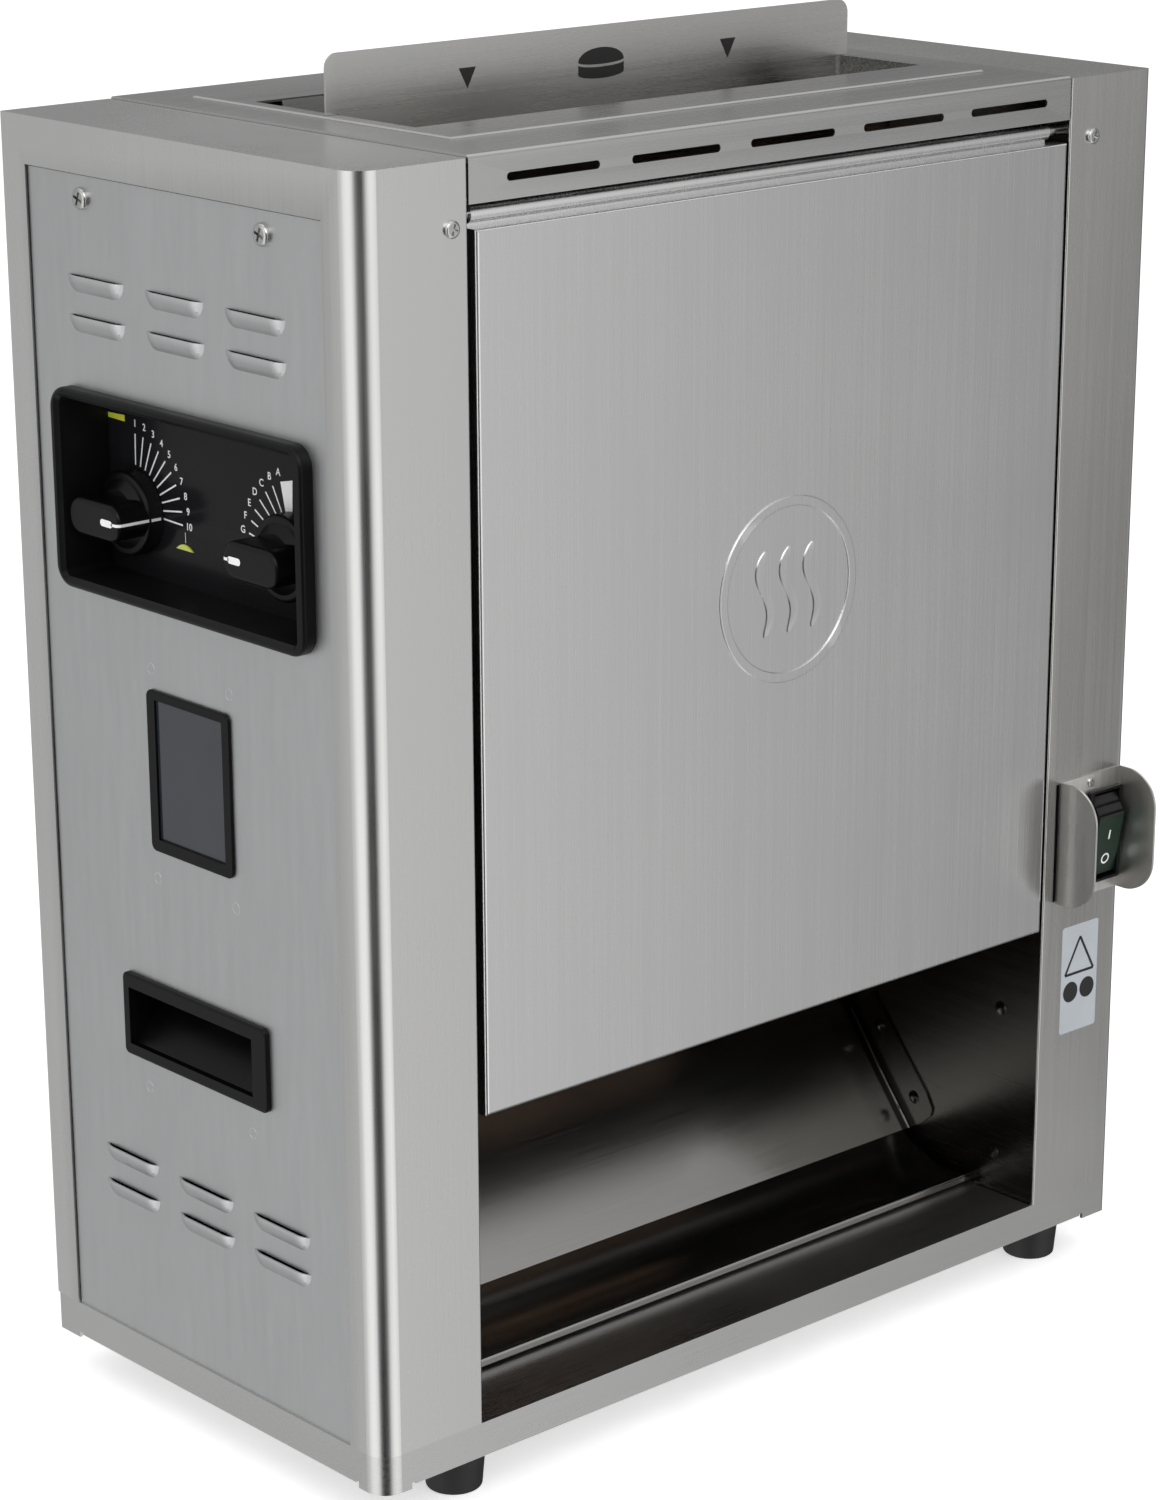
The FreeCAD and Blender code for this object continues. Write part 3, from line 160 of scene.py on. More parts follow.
def plastic(name, colour, roughness=0.42, grain=900.0, bump=0.08, **constants):
    """Moulded plastic with a fine spark-eroded skin and slightly lighter convex edges."""
    s = Shader(name, colour, 0.0, roughness, **constants)
    skin = s.noise(grain, detail=2.0)
    cloud = s.noise(22.0, detail=3.0)
    light = tuple(min(1.0, c * 1.5 + 0.004) for c in colour)
    lighter_edge = tuple(min(1.0, c * 2.2 + 0.008) for c in colour)
    tone = s.blend(s.span(cloud, 0.0, 0.25), colour, light)
    s.link(s.blend(s.edges(0.52, 0.62), tone, lighter_edge), "Base Color")
    s.link(s.span(cloud, roughness - 0.05, roughness + 0.06), "Roughness")
    s.bump(skin, bump, 0.0001)
    return s.material


def painted(name, colour, roughness=0.5, coat=0.0, glow=0.0):
    """Even printing ink or paint with a trace of mottling."""
    s = Shader(name, colour, 0.0, roughness, Coat_Weight=coat, Emission_Strength=glow)
    s.set("Emission Color", (1.0, 1.0, 1.0, 1.0))
    cloud = s.noise(60.0, detail=3.0)
    s.link(s.blend(s.span(cloud, 0.0, 1.0), tuple(c * 0.94 for c in colour), colour), "Base Color")
    s.link(s.span(cloud, roughness - 0.04, roughness + 0.04), "Roughness")
    return s.material


def cast(name, colour, metallic, roughness, grain=260.0, bump=0.25):
    """Cast or turned metal with a pebbled skin."""
    s = Shader(name, colour, metallic, roughness)
    pebbles = s.noise(grain, detail=3.0)
    cloud = s.noise(14.0, detail=4.0)
    dark = tuple(c * 0.8 for c in colour)
    s.link(s.blend(s.span(cloud, 0.0, 1.0), dark, colour), "Base Color")
    s.link(s.span(pebbles, roughness - 0.06, roughness + 0.06), "Roughness")
    s.bump(pebbles, bump, 0.0002)
    return s.material


def turned(name, colour, roughness=0.25):
    """Turned bar: fine rings across the X axis."""
    s = Shader(name, colour, 1.0, roughness)
    rings = s.noise(1.0, (900, 40, 40), detail=3.0)
    s.link(s.blend(s.span(rings, 0.0, 1.0), tuple(c * 0.85 for c in colour), colour), "Base Color")
    s.link(s.span(rings, roughness - 0.05, roughness + 0.07), "Roughness")
    s.bump(rings, 0.08, 0.0001)
    return s.material


def belt_material():
    """Brown silicone-coated belt with a fabric weave showing through and crumb marks."""
    s = Shader("belt_silicone", (0.17, 0.105, 0.07), 0.0, 0.62)
    weave_x = s.node("TexWave", Vector=s.coords, Scale=260.0, Distortion=0.4).outputs["Fac"]
    wave_z = s.node("TexWave", Vector=s.coords, Scale=260.0, Distortion=0.4)
    wave_z.bands_direction = "Z"
    weave = s.math("MULTIPLY", weave_x, wave_z.outputs["Fac"])
    cloud = s.noise(18.0, detail=5.0)
    s.link(s.blend(s.span(cloud, 0.0, 1.0), (0.10, 0.06, 0.04), (0.22, 0.14, 0.09)), "Base Color")
    s.link(s.span(cloud, 0.52, 0.72), "Roughness")
    s.bump(weave, 0.3, 0.0002)
    return s.material


def chute_material():
    """Polished steel, with painted shade where it turns up at each side of the chute."""
    low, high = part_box("landing_chute")
    flat_end = (high.x - low.x) / 2 - 6 * MM
    s = Shader("chute_steel", (0.44, 0.43, 0.42), 1.0, 0.18)
    lines = s.noise(1.0, ACROSS, detail=4.0, rough=0.7)
    tone = s.blend(s.span(lines, 0.0, 1.0), (0.39, 0.38, 0.37), (0.44, 0.43, 0.42))
    # Painted shade: the last 6 mm at each end, where the chute turns up, is near black and fades in over
    # 1 mm.
    across = s.node("SeparateXYZ", Vector=s.coords).outputs["X"]
    off_middle = s.math("ABSOLUTE", s.math("SUBTRACT", across, (low.x + high.x) / 2), 0.0)
    side = s.span(off_middle, 0.0, 1.0, flat_end - 1 * MM, flat_end)
    s.link(s.blend(side, tone, (0.07, 0.067, 0.062)), "Base Color")
    s.link(s.span(lines, 0.15, 0.21), "Roughness")
    s.bump(lines, 0.05, 0.00015)
    return s.material


def heat_tinted():
    """Heater sheath, blued and browned by heat along its length."""
    s = Shader("element_sheath", (0.3, 0.25, 0.22), 1.0, 0.38)
    cloud = s.noise(30.0, (1, 1, 0.4), detail=3.0)
    s.link(s.blend(s.span(cloud, 0.0, 1.0), (0.32, 0.22, 0.16), (0.22, 0.24, 0.30)), "Base Color")
    s.link(s.span(cloud, 0.3, 0.46), "Roughness")
    return s.material


def board_material():
    """Green lacquered circuit board with paler tracks."""
    s = Shader("board", (0.02, 0.13, 0.05), 0.0, 0.35, Coat_Weight=0.4)
    tracks = s.node("TexBrick", Vector=s.stretched((1, 1, 1)), Scale=120.0)
    tracks.inputs["Mortar Size"].default_value = 0.03
    s.link(s.blend(tracks.outputs["Fac"], (0.02, 0.13, 0.05), (0.05, 0.26, 0.10)), "Base Color")
    s.link(s.span(s.noise(40.0), 0.3, 0.42), "Roughness")
    return s.material


def glass_dark(name, colour, roughness=0.12, coat=0.6):
    """Dark glass or polished dark plastic, faintly clouded."""
    s = Shader(name, colour, 0.0, roughness, Coat_Weight=coat, Coat_Roughness=0.06)
    cloud = s.noise(35.0, detail=4.0)
    s.link(s.blend(s.span(cloud, 0.0, 1.0), colour, tuple(c * 1.25 for c in colour)), "Base Color")
    s.link(s.span(cloud, roughness - 0.03, roughness + 0.08), "Roughness")
    return s.material


materials = {
    "stainless_case": brushed("stainless_case", (0.55, 0.55, 0.545), UPRIGHT, 0.28, 0.04, 0.04),
    # right_steel is painted shade: the case steel with the same grain, only darker, for the right
    # housing.
    "right_steel": brushed("right_steel", (0.51, 0.505, 0.49), UPRIGHT, 0.28, 0.04, 0.04),
    "door_steel": brushed("door_steel", (0.72, 0.72, 0.72), (2300, 2300, 12), 0.26, 0.015, 0.03, 0.045),
    "top_steel": brushed("top_steel", (0.45, 0.45, 0.445), ACROSS, 0.28, 0.04, 0.04),
    "panel_steel": brushed("panel_steel", (0.55, 0.555, 0.56), (1100, 700, 60), 0.42, 0.02, 0.03, 0.04),
    "divider_steel": brushed("divider_steel", (0.50, 0.495, 0.48), ACROSS, 0.28, 0.04, 0.04),
    "guard_steel": brushed("guard_steel", (0.74, 0.73, 0.70), UPRIGHT, 0.32, 0.05, 0.04),
    "skirt_steel": brushed("skirt_steel", (0.50, 0.50, 0.495), ACROSS, 0.30, 0.04, 0.04),
    "chute_steel": chute_material(),
    # inner_steel carries painted shade: the case's brushed steel darkened to near black for the shaded
    # inside of the machine.
    "inner_steel": brushed("inner_steel", (0.10, 0.096, 0.088), INWARD, 0.24, 0.05, 0.03),
    "bright_steel": turned("bright_steel", (0.62, 0.62, 0.62), 0.22),
    "fasteners": cast("fasteners", (0.62, 0.62, 0.61), 1.0, 0.26, 700.0, 0.1),
    "cast_aluminium": cast("cast_aluminium", (0.50, 0.50, 0.50), 1.0, 0.42, 240.0, 0.2),
    "element_sheath": heat_tinted(),
    "belt_silicone": belt_material(),
    "roller_steel": turned("roller_steel", (0.50, 0.50, 0.50), 0.32),
    "gear_steel": cast("gear_steel", (0.42, 0.42, 0.41), 1.0, 0.34, 500.0, 0.1),
    "gearbox_alloy": cast("gearbox_alloy", (0.45, 0.46, 0.47), 1.0, 0.46, 420.0, 0.4),
    "motor_paint": cast("motor_paint", (0.02, 0.02, 0.022), 0.0, 0.42, 600.0, 0.2),
    "fan_plastic": plastic("fan_plastic", (0.012, 0.012, 0.013), 0.45),
    "board": board_material(),
    "terminal_plastic": plastic("terminal_plastic", (0.62, 0.60, 0.54), 0.5),
    "black_plastic": plastic("black_plastic", (0.0010, 0.0010, 0.0014), 0.36, Specular_IOR_Level=0.20),
    "knob_plastic": plastic("knob_plastic", (0.0015, 0.0015, 0.0018), 0.36, Specular_IOR_Level=0.22),
    "dial_face": plastic("dial_face", (0.0010, 0.0010, 0.0016), 0.17, 1500.0, 0.03,
                         Specular_IOR_Level=0.14),
    "display_glass": glass_dark("display_glass", (0.018, 0.022, 0.028), 0.12, 0.5),
    "rocker_green": glass_dark("rocker_green", (0.001, 0.016, 0.007), 0.30, 0.0),
    "foot_rubber": plastic("foot_rubber", (0.010, 0.010, 0.010), 0.62, 500.0, 0.2),
    "ink_white": painted("ink_white", (0.80, 0.80, 0.80), 0.5),
    "ink_black": painted("ink_black", (0.010, 0.010, 0.010), 0.45),
    "ink_yellow": painted("ink_yellow", (0.62, 0.66, 0.05), 0.45),
    "lens_yellow": painted("lens_yellow", (0.60, 0.64, 0.10), 0.2, 0.6),
    "sticker": painted("sticker", (0.40, 0.43, 0.46), 0.42, 0.2),
    "floor": painted("floor", (0.90, 0.90, 0.90), 0.6, 0.0, 0.55),
}

FACED = {"front_door": "door_steel", "top_cover": "top_steel", "feed_frame": "top_steel",
         "right_housing": "right_steel", "switch_guard": "guard_steel", "base_tray": "skirt_steel"}


def dress_cad_nodes():
    """Give every CAD node the material of its slot, or the variant whose grain suits it; right_steel
    keeps the case's grain and is painted shade, a darker copy of the case steel.
    """
    for entry in frame["record"]["subparts"]:
        node = frame["nodes"][entry["node"]]
        material = materials[FACED.get(entry["node"], entry["material_slot"])]
        node.data.materials.clear()
        node.data.materials.append(material)


# ---- mesh helpers ------------------------------------------------------------------------
def piece(name, mesh, material, body, smooth=True):
    """Put a bmesh in the scene as a piece that rides on a body."""
    data = bpy.data.meshes.new(name)
    bmesh.ops.recalc_face_normals(mesh, faces=mesh.faces)
    mesh.to_mesh(data)
    mesh.free()
    made = bpy.data.objects.new(name, data)
    bpy.context.scene.collection.objects.link(made)
    data.materials.append(materials[material])
    if smooth:
        data.shade_smooth()
        data.set_sharp_from_angle(angle=math.radians(35))
    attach(made, body)
    return made


def plane_matrix(origin, right, up):
    """Local X is right, local Y is up and local Z stands out of the face."""
    right, up = Vector(right), Vector(up)
    out = right.cross(up)
    rows = Matrix((right, up, out)).transposed().to_4x4()
    return Matrix.Translation(Vector(origin)) @ rows


def add_slab(mesh, outline, place, thick, bevel=0.0, segments=2):
    """A flat slab with the given outline, standing out of a face by its thickness."""
    verts = [mesh.verts.new((x, y, 0.0)) for x, y in outline]
    bottom = mesh.faces.new(verts)
    made = bmesh.ops.extrude_face_region(mesh, geom=[bottom])
    top = [v for v in made["geom"] if isinstance(v, bmesh.types.BMVert)]
    bmesh.ops.translate(mesh, verts=top, vec=(0, 0, thick))
    if bevel:
        rim = {e for v in top for e in v.link_edges if all(w in top for w in e.verts)}
        grown = bmesh.ops.bevel(mesh, geom=list(rim), offset=bevel, segments=segments, affect="EDGES")
        top = list({v for f in grown["faces"] for v in f.verts} | {v for v in top if v.is_valid})
    bmesh.ops.transform(mesh, matrix=place, verts=list(set(verts) | set(top)))


def circle(radius, count=48, middle=(0.0, 0.0), start=0.0, end=2 * math.pi):
    """Points on a circle, or on an arc that includes both of its ends."""
    closed = abs(end - start - 2 * math.pi) < 1e-6
    steps = count if closed else count - 1
    return [(middle[0] + radius * math.cos(start + (end - start) * n / steps),
             middle[1] + radius * math.sin(start + (end - start) * n / steps)) for n in range(count)]


def rounded_rect(width, height, radius, count=6):
    points = []
    for cx, cy, first in ((1, 1, 0), (-1, 1, 1), (-1, -1, 2), (1, -1, 3)):
        middle = (cx * (width / 2 - radius), cy * (height / 2 - radius))
        points += circle(radius, count, middle, first * math.pi / 2, (first + 1) * math.pi / 2)
    return points


def bar(start, end, width):
    """Outline of a straight stroke."""
    a, b = Vector(start), Vector(end)
    side = (b - a).normalized().orthogonal() * width / 2
    return [tuple(p) for p in (a - side, b - side, b + side, a + side)]


def add_flat_ring(mesh, outer, inner, place, thick, count=40):
    """A flat ring standing out of a face by its thickness."""
    faces = []
    rims = [[mesh.verts.new((r * x, r * y, 0.0)) for x, y in circle(1.0, count)] for r in (outer, inner)]
    for n in range(count):
        m = (n + 1) % count
        faces.append(mesh.faces.new((rims[0][n], rims[0][m], rims[1][m], rims[1][n])))
    made = bmesh.ops.extrude_face_region(mesh, geom=faces)
    top = [v for v in made["geom"] if isinstance(v, bmesh.types.BMVert)]
    bmesh.ops.translate(mesh, verts=top, vec=(0, 0, thick))
    bmesh.ops.transform(mesh, matrix=place, verts=rims[0] + rims[1] + top)


def add_low_ring(mesh, place, radius, half_width, height, count=40):
    """A low rounded ring on a face."""
    rows = []
    for n in range(count):
        a = 2 * math.pi * n / count
        row = []
        for k in range(5):
            b = math.pi * k / 4
            r = radius + half_width * math.cos(b)
            at = Vector((r * math.cos(a), r * math.sin(a), height * math.sin(b)))
            row.append(mesh.verts.new(place @ at))
        rows.append(row)
    for n in range(count):
        a, b = rows[n], rows[(n + 1) % count]
        for k in range(4):
            mesh.faces.new((a[k], b[k], b[k + 1], a[k + 1]))
        mesh.faces.new((a[4], b[4], b[0], a[0]))


def add_ribbon(mesh, path, width, place):
    """A printed line draped over an edge. path holds (point, normal) pairs in a plane across it."""
    rings = []
    for point, normal in path:
        ring = []
        for side, lift in ((-1, SKIN), (1, SKIN), (1, -SKIN), (-1, -SKIN)):
            at = Vector(point) + Vector(normal) * lift
            ring.append(mesh.verts.new(place @ Vector((at.x, at.y, side * width / 2))))
        rings.append(ring)
    for a, b in zip(rings, rings[1:]):
        for k in range(4):
            mesh.faces.new((a[k], a[(k + 1) % 4], b[(k + 1) % 4], b[k]))
    mesh.faces.new(rings[0])
    mesh.faces.new(reversed(rings[-1]))


def text_outlines(words, size, material, name, place, body):
    """Generic scale marks, turned into a thin mesh."""
    curve = bpy.data.curves.new(name, "FONT")
    curve.body = words
    curve.size = size
    curve.align_x = "CENTER"
    curve.align_y = "CENTER"
    curve.extrude = SKIN / 2
    curve.offset = size * 0.012
    holder = bpy.data.objects.new(name + "_curve", curve)
    bpy.context.scene.collection.objects.link(holder)
    bpy.context.view_layer.update()
    data = bpy.data.meshes.new_from_object(holder)
    bpy.data.objects.remove(holder)
    data.transform(place)
    made = bpy.data.objects.new(name, data)
    bpy.context.scene.collection.objects.link(made)
    data.materials.clear()
    data.materials.append(materials[material])
    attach(made, body)
    return made


# ---- places taken from the frame ---------------------------------------------------------
def middle(node):
    low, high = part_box(node)
    return (low + high) / 2


DIAL_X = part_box("dial_plate")[0].x                    # face of the dial plate
PANEL_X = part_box("left_panel")[1].x - 1.2 * MM        # outer face of the left panel
KNOBS = {"rear": middle("knob_rear"), "front": middle("knob_front")}
TOWARD_FRONT, UP = Vector((0, -1, 0)), Vector((0, 0, 1))


def on_left(x, y, z):
    """A face looking out to the left: its right hand points to the front."""
    return plane_matrix((x, y, z), TOWARD_FRONT, UP)


def on_front(x, y, z):
    """A face looking out to the front."""
    return plane_matrix((x, y, z), (1, 0, 0), UP)


# ---- dial scales -------------------------------------------------------------------------
TICK_W, MARK_SIZE = 0.75 * MM, 4.6 * MM


def scale_marks(which, marks, first, step, r_in, r_out, r_text, way, off):
    """Ticks and generic marks round a knob. Angles are in degrees from twelve o'clock, growing
    towards the front where way is 1 and towards the rear where it is -1. off moves the scale's
    centre along Y and Z from the knob's. The wedge stands in for the first tick of the front scale."""
    centre = KNOBS[which] + Vector((0, *off))
    place = on_left(DIAL_X, centre.y, centre.z)
    ticks = bmesh.new()
    for n, mark in enumerate(marks):
        angle = math.radians(first + n * step)
        toward = Vector((way * math.sin(angle), math.cos(angle)))
        if not (which == "front" and n == 0):
            add_slab(ticks, bar(toward * r_in, toward * r_out, TICK_W), place, SKIN)
        at = toward * r_text
        text_outlines(mark, MARK_SIZE, "ink_white", f"scale_{which}_{mark}",
                      place @ Matrix.Translation((at.x, at.y, SKIN / 2)), "case")
    return ticks, place


def dial_printing():
    """Both scales, the two yellow marks of the rear one and the white wedge of the front one."""
    ticks, place = scale_marks("rear", [str(n) for n in range(1, 11)], 2, 10,
                               20.5 * MM, 34.6 * MM, 39.2 * MM, 1, (1.6 * MM, 0.4 * MM))
    piece("scale_ticks_rear", ticks, "ink_white", "case", smooth=False)
    flag = bmesh.new()
    add_slab(flag, [(-18.7 * MM, 39.2 * MM), (-6.3 * MM, 38.9 * MM), (-6.2 * MM, 41.8 * MM),
                    (-18.9 * MM, 41.4 * MM)], place, SKIN)
    piece("scale_flag_yellow", flag, "ink_yellow", "case", smooth=False)
    lens = bmesh.new()
    hump = [(x * 6.2 * MM, -12.2 * MM + 2.6 * MM * (1 - x * x)) for x in [n / 6 - 1 for n in range(13)]]
    add_slab(lens, [(x + 36.0 * MM, y) for x, y in hump], place, 0.8 * MM, 0.25 * MM)
    piece("scale_lens_yellow", lens, "lens_yellow", "case")
    stem = bmesh.new()
    add_slab(stem, bar((36.2 * MM, -8.9 * MM), (36.2 * MM, -4.2 * MM), 0.35 * MM), place, SKIN)
    piece("scale_stem", stem, "ink_white", "case", smooth=False)

    ticks, place = scale_marks("front", "ABCDEFGH", 19.5, 9.75, 22.3 * MM, 35.8 * MM, 40.2 * MM, -1,
                               (-3.2 * MM, -3.2 * MM))
    wedge = [(-12.0 * MM, 34.0 * MM), (-3.6 * MM, 35.9 * MM), (-4.2 * MM, 21.4 * MM),
             (-8.8 * MM, 20.7 * MM)]
    add_slab(ticks, wedge, place, SKIN)
    piece("scale_ticks_front", ticks, "ink_white", "case", smooth=False)


def knob_pointers():
    """White pointer on each grip bar: a blob on its face and a line over its end to the skirt's rim."""
    edge_r, skirt_edge_r, skirt_t, bar_inset = 2.4 * MM, 1.8 * MM, 8.0 * MM, 0.45 * MM
    for which, way in (("rear", 1), ("front", -1)):
        low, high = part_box("knob_" + which)
        centre = KNOBS[which]
        skirt_r = (high.y - low.y) / 2
        bar_reach = skirt_r - bar_inset
        skirt_front = high.x - skirt_t
        mesh = bmesh.new()
        blob = rounded_rect(8.8 * MM, 3.2 * MM, 1.55 * MM)
        add_slab(mesh, [(x + way * (bar_reach - 8.6 * MM), y) for x, y in blob],
                 on_left(low.x, centre.y, centre.z), SKIN)
        path = [((bar_reach - 5.0 * MM, low.x), (0, -1))]
        for n in range(7):
            turn = math.radians(15 * n)
            normal = Vector((math.sin(turn), -math.cos(turn)))
            path.append((Vector((bar_reach - edge_r, low.x + edge_r)) + normal * edge_r, normal))
        path += [((bar_reach, skirt_front + 0.9 * MM), (1, 0)),
                 ((skirt_r, skirt_front + skirt_edge_r), (1, 0)),
                 ((skirt_r, high.x - 1.2 * MM), (1, 0))]
        across = Matrix(((0, 1, 0), (-way, 0, 0), (0, 0, 1))).to_4x4()
        add_ribbon(mesh, path, 1.3 * MM, Matrix.Translation((0, centre.y, centre.z)) @ across)
        piece("pointer_" + which, mesh, "ink_white", which + "_knob", smooth=False)


# ---- printing on the divider plate -------------------------------------------------------
def divider_printing():
    """Two arrows pointing down into the slots, and a bun in two halves between them."""
    low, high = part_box("divider_plate")
    centre = (low.x + high.x) / 2
    row = high.z - 17.0 * MM
    place = on_front(centre, low.y, row)
    marks = bmesh.new()
    half_w, height = 5.0 * MM, 9.2 * MM
    for x in (-80.0 * MM, 80.0 * MM):
        arrow = [(x - half_w, height / 2), (x, -height / 2), (x + half_w, height / 2)]
        add_slab(marks, arrow, place, SKIN)
    crown_w, crown_h = 28.0 * MM, 6.0 * MM
    dome = [(crown_w / 2 * math.cos(a), crown_h * math.sin(a) + 1.0 * MM)
            for a in [math.pi * n / 24 for n in range(25)]]
    belly = [(crown_w / 2 * math.cos(a), 1.6 * MM * math.sin(a) + 1.0 * MM)
             for a in [math.pi + math.pi * n / 16 for n in range(1, 16)]]
    add_slab(marks, dome + belly, place, SKIN)
    upper = [(crown_w / 2 * math.cos(a), 1.6 * MM * math.sin(a) - 0.2 * MM)
             for a in [2 * math.pi - math.pi * n / 16 for n in range(17)]]
    lower = [(crown_w / 2 * math.cos(a), 2.4 * MM * math.sin(a) - 4.6 * MM)
             for a in [math.pi + math.pi * n / 16 for n in range(17)]]
    add_slab(marks, upper + lower, place, SKIN)
    piece("divider_marks", marks, "ink_black", "divider", smooth=False)


# ---- door emblem -------------------------------------------------------------------------
def door_emblem():
    """Three raised heat waves inside the pressed ring."""
    low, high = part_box("front_door")
    face = low.y + 0.6 * MM
    place = on_front((low.x + high.x) / 2 + 1.5 * MM, face, low.z + 207.3 * MM)
    mesh = bmesh.new()
    height, sway, width = 40.0 * MM, 3.6 * MM, 5.2 * MM
    count = 28
    for x in (-15.0 * MM, 0.0, 15.0 * MM):
        mid = [(x + sway * math.sin(2 * math.pi * n / count), height * (n / count - 0.5))
               for n in range(count + 1)]
        taper = [width / 2 * math.sqrt(max(0.03, 1 - (2 * n / count - 1) ** 6)) for n in range(count + 1)]
        outline = [(m[0] + t, m[1]) for m, t in zip(mid, taper)]
        outline += [(m[0] - t, m[1]) for m, t in reversed(list(zip(mid, taper)))]
        add_slab(mesh, outline, place, 0.5 * MM, 0.2 * MM)
    piece("door_emblem", mesh, "door_steel", "door")


# ---- sticker under the switch ------------------------------------------------------------
def sticker():
    """A plain white sticker with an empty triangle and two plain discs."""
    low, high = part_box("switch_guard")
    face = high.y
    centre_x, top = (low.x + high.x) / 2 - 2.25 * MM, low.z - 15.0 * MM
    width, height = 27.0 * MM, 57.0 * MM
    base = on_front(centre_x, face, top - height / 2)
    sheet = bmesh.new()
    add_slab(sheet, rounded_rect(width, height, 1.6 * MM), base, 0.12 * MM, 0.03 * MM)
    piece("sticker", sheet, "sticker", "case")
    marks = bmesh.new()
    place = on_front(centre_x, face - 0.12 * MM, top - height / 2)
    corners = [Vector((0, 21.5 * MM)), Vector((-10.6 * MM, 2.6 * MM)), Vector((10.6 * MM, 2.6 * MM))]
    for a, b in zip(corners, corners[1:] + corners[:1]):
        add_slab(marks, bar(a, b, 1.4 * MM), place, SKIN)
    for x in (-6.2 * MM, 6.2 * MM):
        add_slab(marks, circle(5.4 * MM, 40, (x, -6.9 * MM)), place, SKIN)
    piece("sticker_marks", marks, "ink_black", "case", smooth=False)


# ---- rocker marks ------------------------------------------------------------------------
def rocker_marks():
    """A stroke and a ring, printed white on the rocker's sloping face."""
    low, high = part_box("rocker")
    foot = Vector((middle("rocker").x + 0.5 * MM, low.y + 5.8 * MM, low.z))
    ridge = Vector((foot.x, low.y, high.z))
    along = (ridge - foot).normalized()
    marks = bmesh.new()
    ring_place = plane_matrix(foot + along * 8.2 * MM, (1, 0, 0), along)
    stroke_place = plane_matrix(foot + along * 21.5 * MM, (1, 0, 0), along)
    add_flat_ring(marks, 2.9 * MM, 2.0 * MM, ring_place, SKIN)
    add_slab(marks, rounded_rect(1.1 * MM, 5.2 * MM, 0.4 * MM), stroke_place, SKIN)
    piece("rocker_marks", marks, "ink_white", "power_rocker", smooth=False)


# ---- weld marks --------------------------------------------------------------------------
def stud_marks():
    """Faint rings where studs are welded behind the left panel."""
    display_low, display_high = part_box("display_bezel")
    handle_low, handle_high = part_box("pocket_handle_left")
    spots = [(display_low.y + 0.6 * MM, display_high.z + 9.0 * MM),
             (display_high.y - 2.3 * MM, display_high.z + 9.1 * MM),
             (display_low.y + 0.4 * MM, display_low.z - 13.5 * MM),
             (display_high.y - 1.5 * MM, display_low.z - 13.7 * MM),
             (handle_low.y + 14.3 * MM, handle_low.z - 13.8 * MM),
             (handle_high.y - 14.2 * MM, handle_low.z - 13.9 * MM)]
    mesh = bmesh.new()
    for y, z in spots:
        add_low_ring(mesh, on_left(PANEL_X, y, z), 2.5 * MM, 0.28 * MM, 0.12 * MM)
    piece("panel_stud_marks", mesh, "panel_steel", "case")


dress_cad_nodes()
dial_printing()
knob_pointers()
divider_printing()
door_emblem()
sticker()
rocker_marks()
stud_marks()


# ---- floor, light and camera -------------------------------------------------------------
# Brightness of the studio walls all the way round, as (bearing, brightness). Bearings 0 and 1 look
# left (-X), 0.25 looks out of the front (-Y), 0.5 looks right and 0.75 looks out of the back.
WALLS = [(0.00, 1.20), (0.052, 1.20), (0.093, 0.03), (0.190, 0.03), (0.232, 1.02), (0.31, 1.25),
         (0.40, 0.18), (0.55, 0.13), (0.62, 0.23), (0.75, 0.45), (0.86, 0.52), (0.92, 0.85), (0.96, 1.20)]
# The ceiling is one even brightness; it takes over between these two sines of the elevation.
CEILING, CEILING_FROM, CEILING_FULL = 0.8, 0.48, 0.66


def soft_box(name, place, aim, size, power):
    """A square lamp that faces a point."""
    lamp = bpy.data.lights.new(name, "AREA")
    lamp.shape = "SQUARE"
    lamp.size = size
    lamp.energy = power
    holder = bpy.data.objects.new(name, lamp)
    holder.location = place
    holder.rotation_mode = "QUATERNION"
    holder.rotation_quaternion = (Vector(aim) - Vector(place)).to_track_quat("-Z", "Y")
    bpy.context.scene.collection.objects.link(holder)


def floor():
    """A plain pale floor. Reflections show the studio walls in its place."""
    mesh = bmesh.new()
    bmesh.ops.create_grid(mesh, x_segments=8, y_segments=8, size=8.0)
    data = bpy.data.meshes.new("floor")
    mesh.to_mesh(data)
    mesh.free()
    ground = bpy.data.objects.new("floor", data)
    data.materials.append(materials["floor"])
    bpy.context.scene.collection.objects.link(ground)
    ground.visible_glossy = False


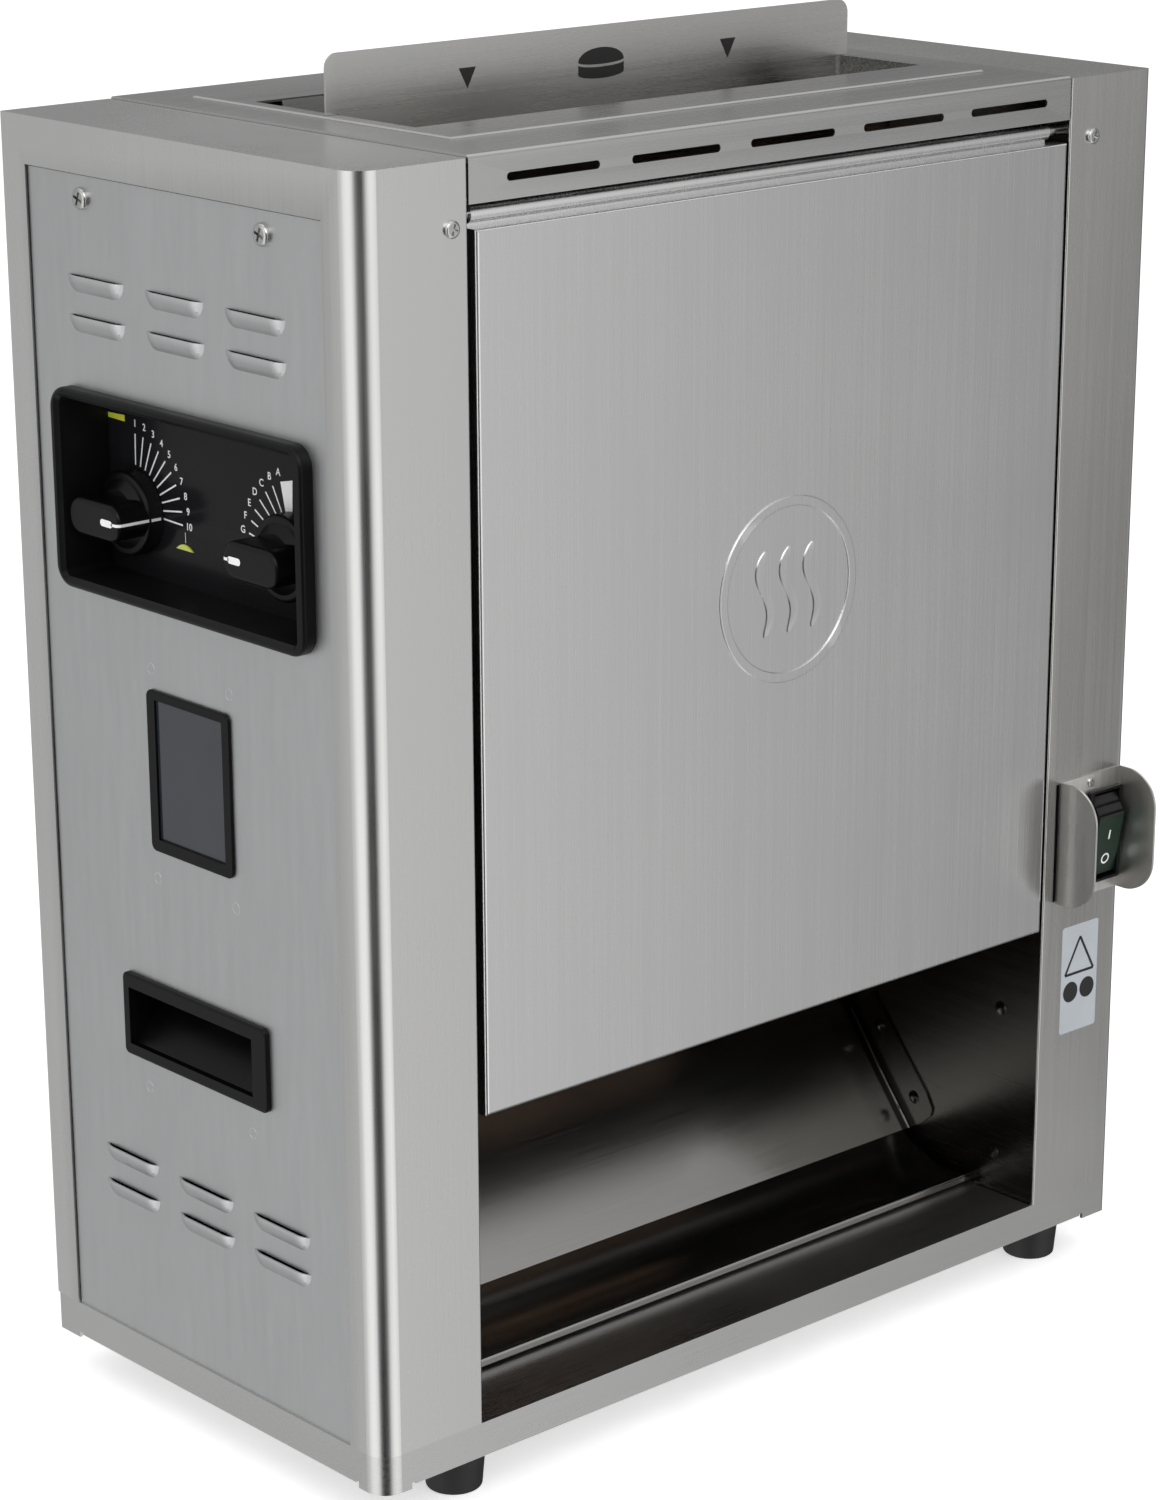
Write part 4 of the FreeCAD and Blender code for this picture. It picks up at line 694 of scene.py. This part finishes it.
def walls():
    """White backdrop for the camera; for light and reflections, the walls and ceiling above."""
    world = bpy.data.worlds.new("studio")
    world.use_nodes = True
    bpy.context.scene.world = world
    tree = world.node_tree
    sky = tree.nodes["Background"]
    bearing = tree.nodes.new("ShaderNodeTexGradient")
    bearing.gradient_type = "RADIAL"
    toward = tree.nodes.new("ShaderNodeTexCoord").outputs["Generated"]
    tree.links.new(toward, bearing.inputs["Vector"])
    ramp = tree.nodes.new("ShaderNodeValToRGB")
    tree.links.new(bearing.outputs["Fac"], ramp.inputs["Fac"])
    while len(ramp.color_ramp.elements) < len(WALLS):
        ramp.color_ramp.elements.new(0.5)
    for element, (bearing_of_stop, light) in zip(ramp.color_ramp.elements, WALLS):
        element.position = bearing_of_stop
        element.color = (light, light, light, 1.0)
    height = tree.nodes.new("ShaderNodeSeparateXYZ")
    tree.links.new(toward, height.inputs[0])
    rise = tree.nodes.new("ShaderNodeMapRange")
    rise.interpolation_type = "SMOOTHSTEP"
    tree.links.new(height.outputs["Z"], rise.inputs["Value"])
    rise.inputs["From Min"].default_value = CEILING_FROM
    rise.inputs["From Max"].default_value = CEILING_FULL
    lit = tree.nodes.new("ShaderNodeMix")
    lit.data_type = "RGBA"
    tree.links.new(rise.outputs["Result"], lit.inputs[0])
    tree.links.new(ramp.outputs["Color"], lit.inputs[6])
    lit.inputs[7].default_value = (CEILING, CEILING, CEILING, 1.0)
    seen = tree.nodes.new("ShaderNodeMix")
    seen.data_type = "RGBA"
    rays = tree.nodes.new("ShaderNodeLightPath")
    tree.links.new(rays.outputs["Is Camera Ray"], seen.inputs[0])
    tree.links.new(lit.outputs[2], seen.inputs[6])
    seen.inputs[7].default_value = (1.0, 1.0, 1.0, 1.0)
    tree.links.new(seen.outputs[2], sky.inputs["Color"])


def studio():
    floor()
    walls()
    soft_box("key", (-1.6, -2.4, 2.6), (0.0, 0.0, 0.3), 2.4, 40.0)
    soft_box("top", (0.2, 0.3, 3.2), (0.0, 0.0, 0.0), 2.2, 10.0)
    bpy.context.scene.view_settings.view_transform = "Standard"


def camera():
    data = bpy.data.cameras.new("camera")
    data.lens = 96.2
    data.sensor_width = 36.0
    data.shift_x, data.shift_y = -0.0174, 0.0912
    data.clip_end = 50.0
    made = bpy.data.objects.new("camera", data)
    made.location = (-1.2387, -1.36775, 0.84557)
    made.rotation_euler = [math.radians(a) for a in (71.362, 0.097, -42.251)]
    bpy.context.scene.collection.objects.link(made)
    bpy.context.scene.camera = made


studio()
camera()
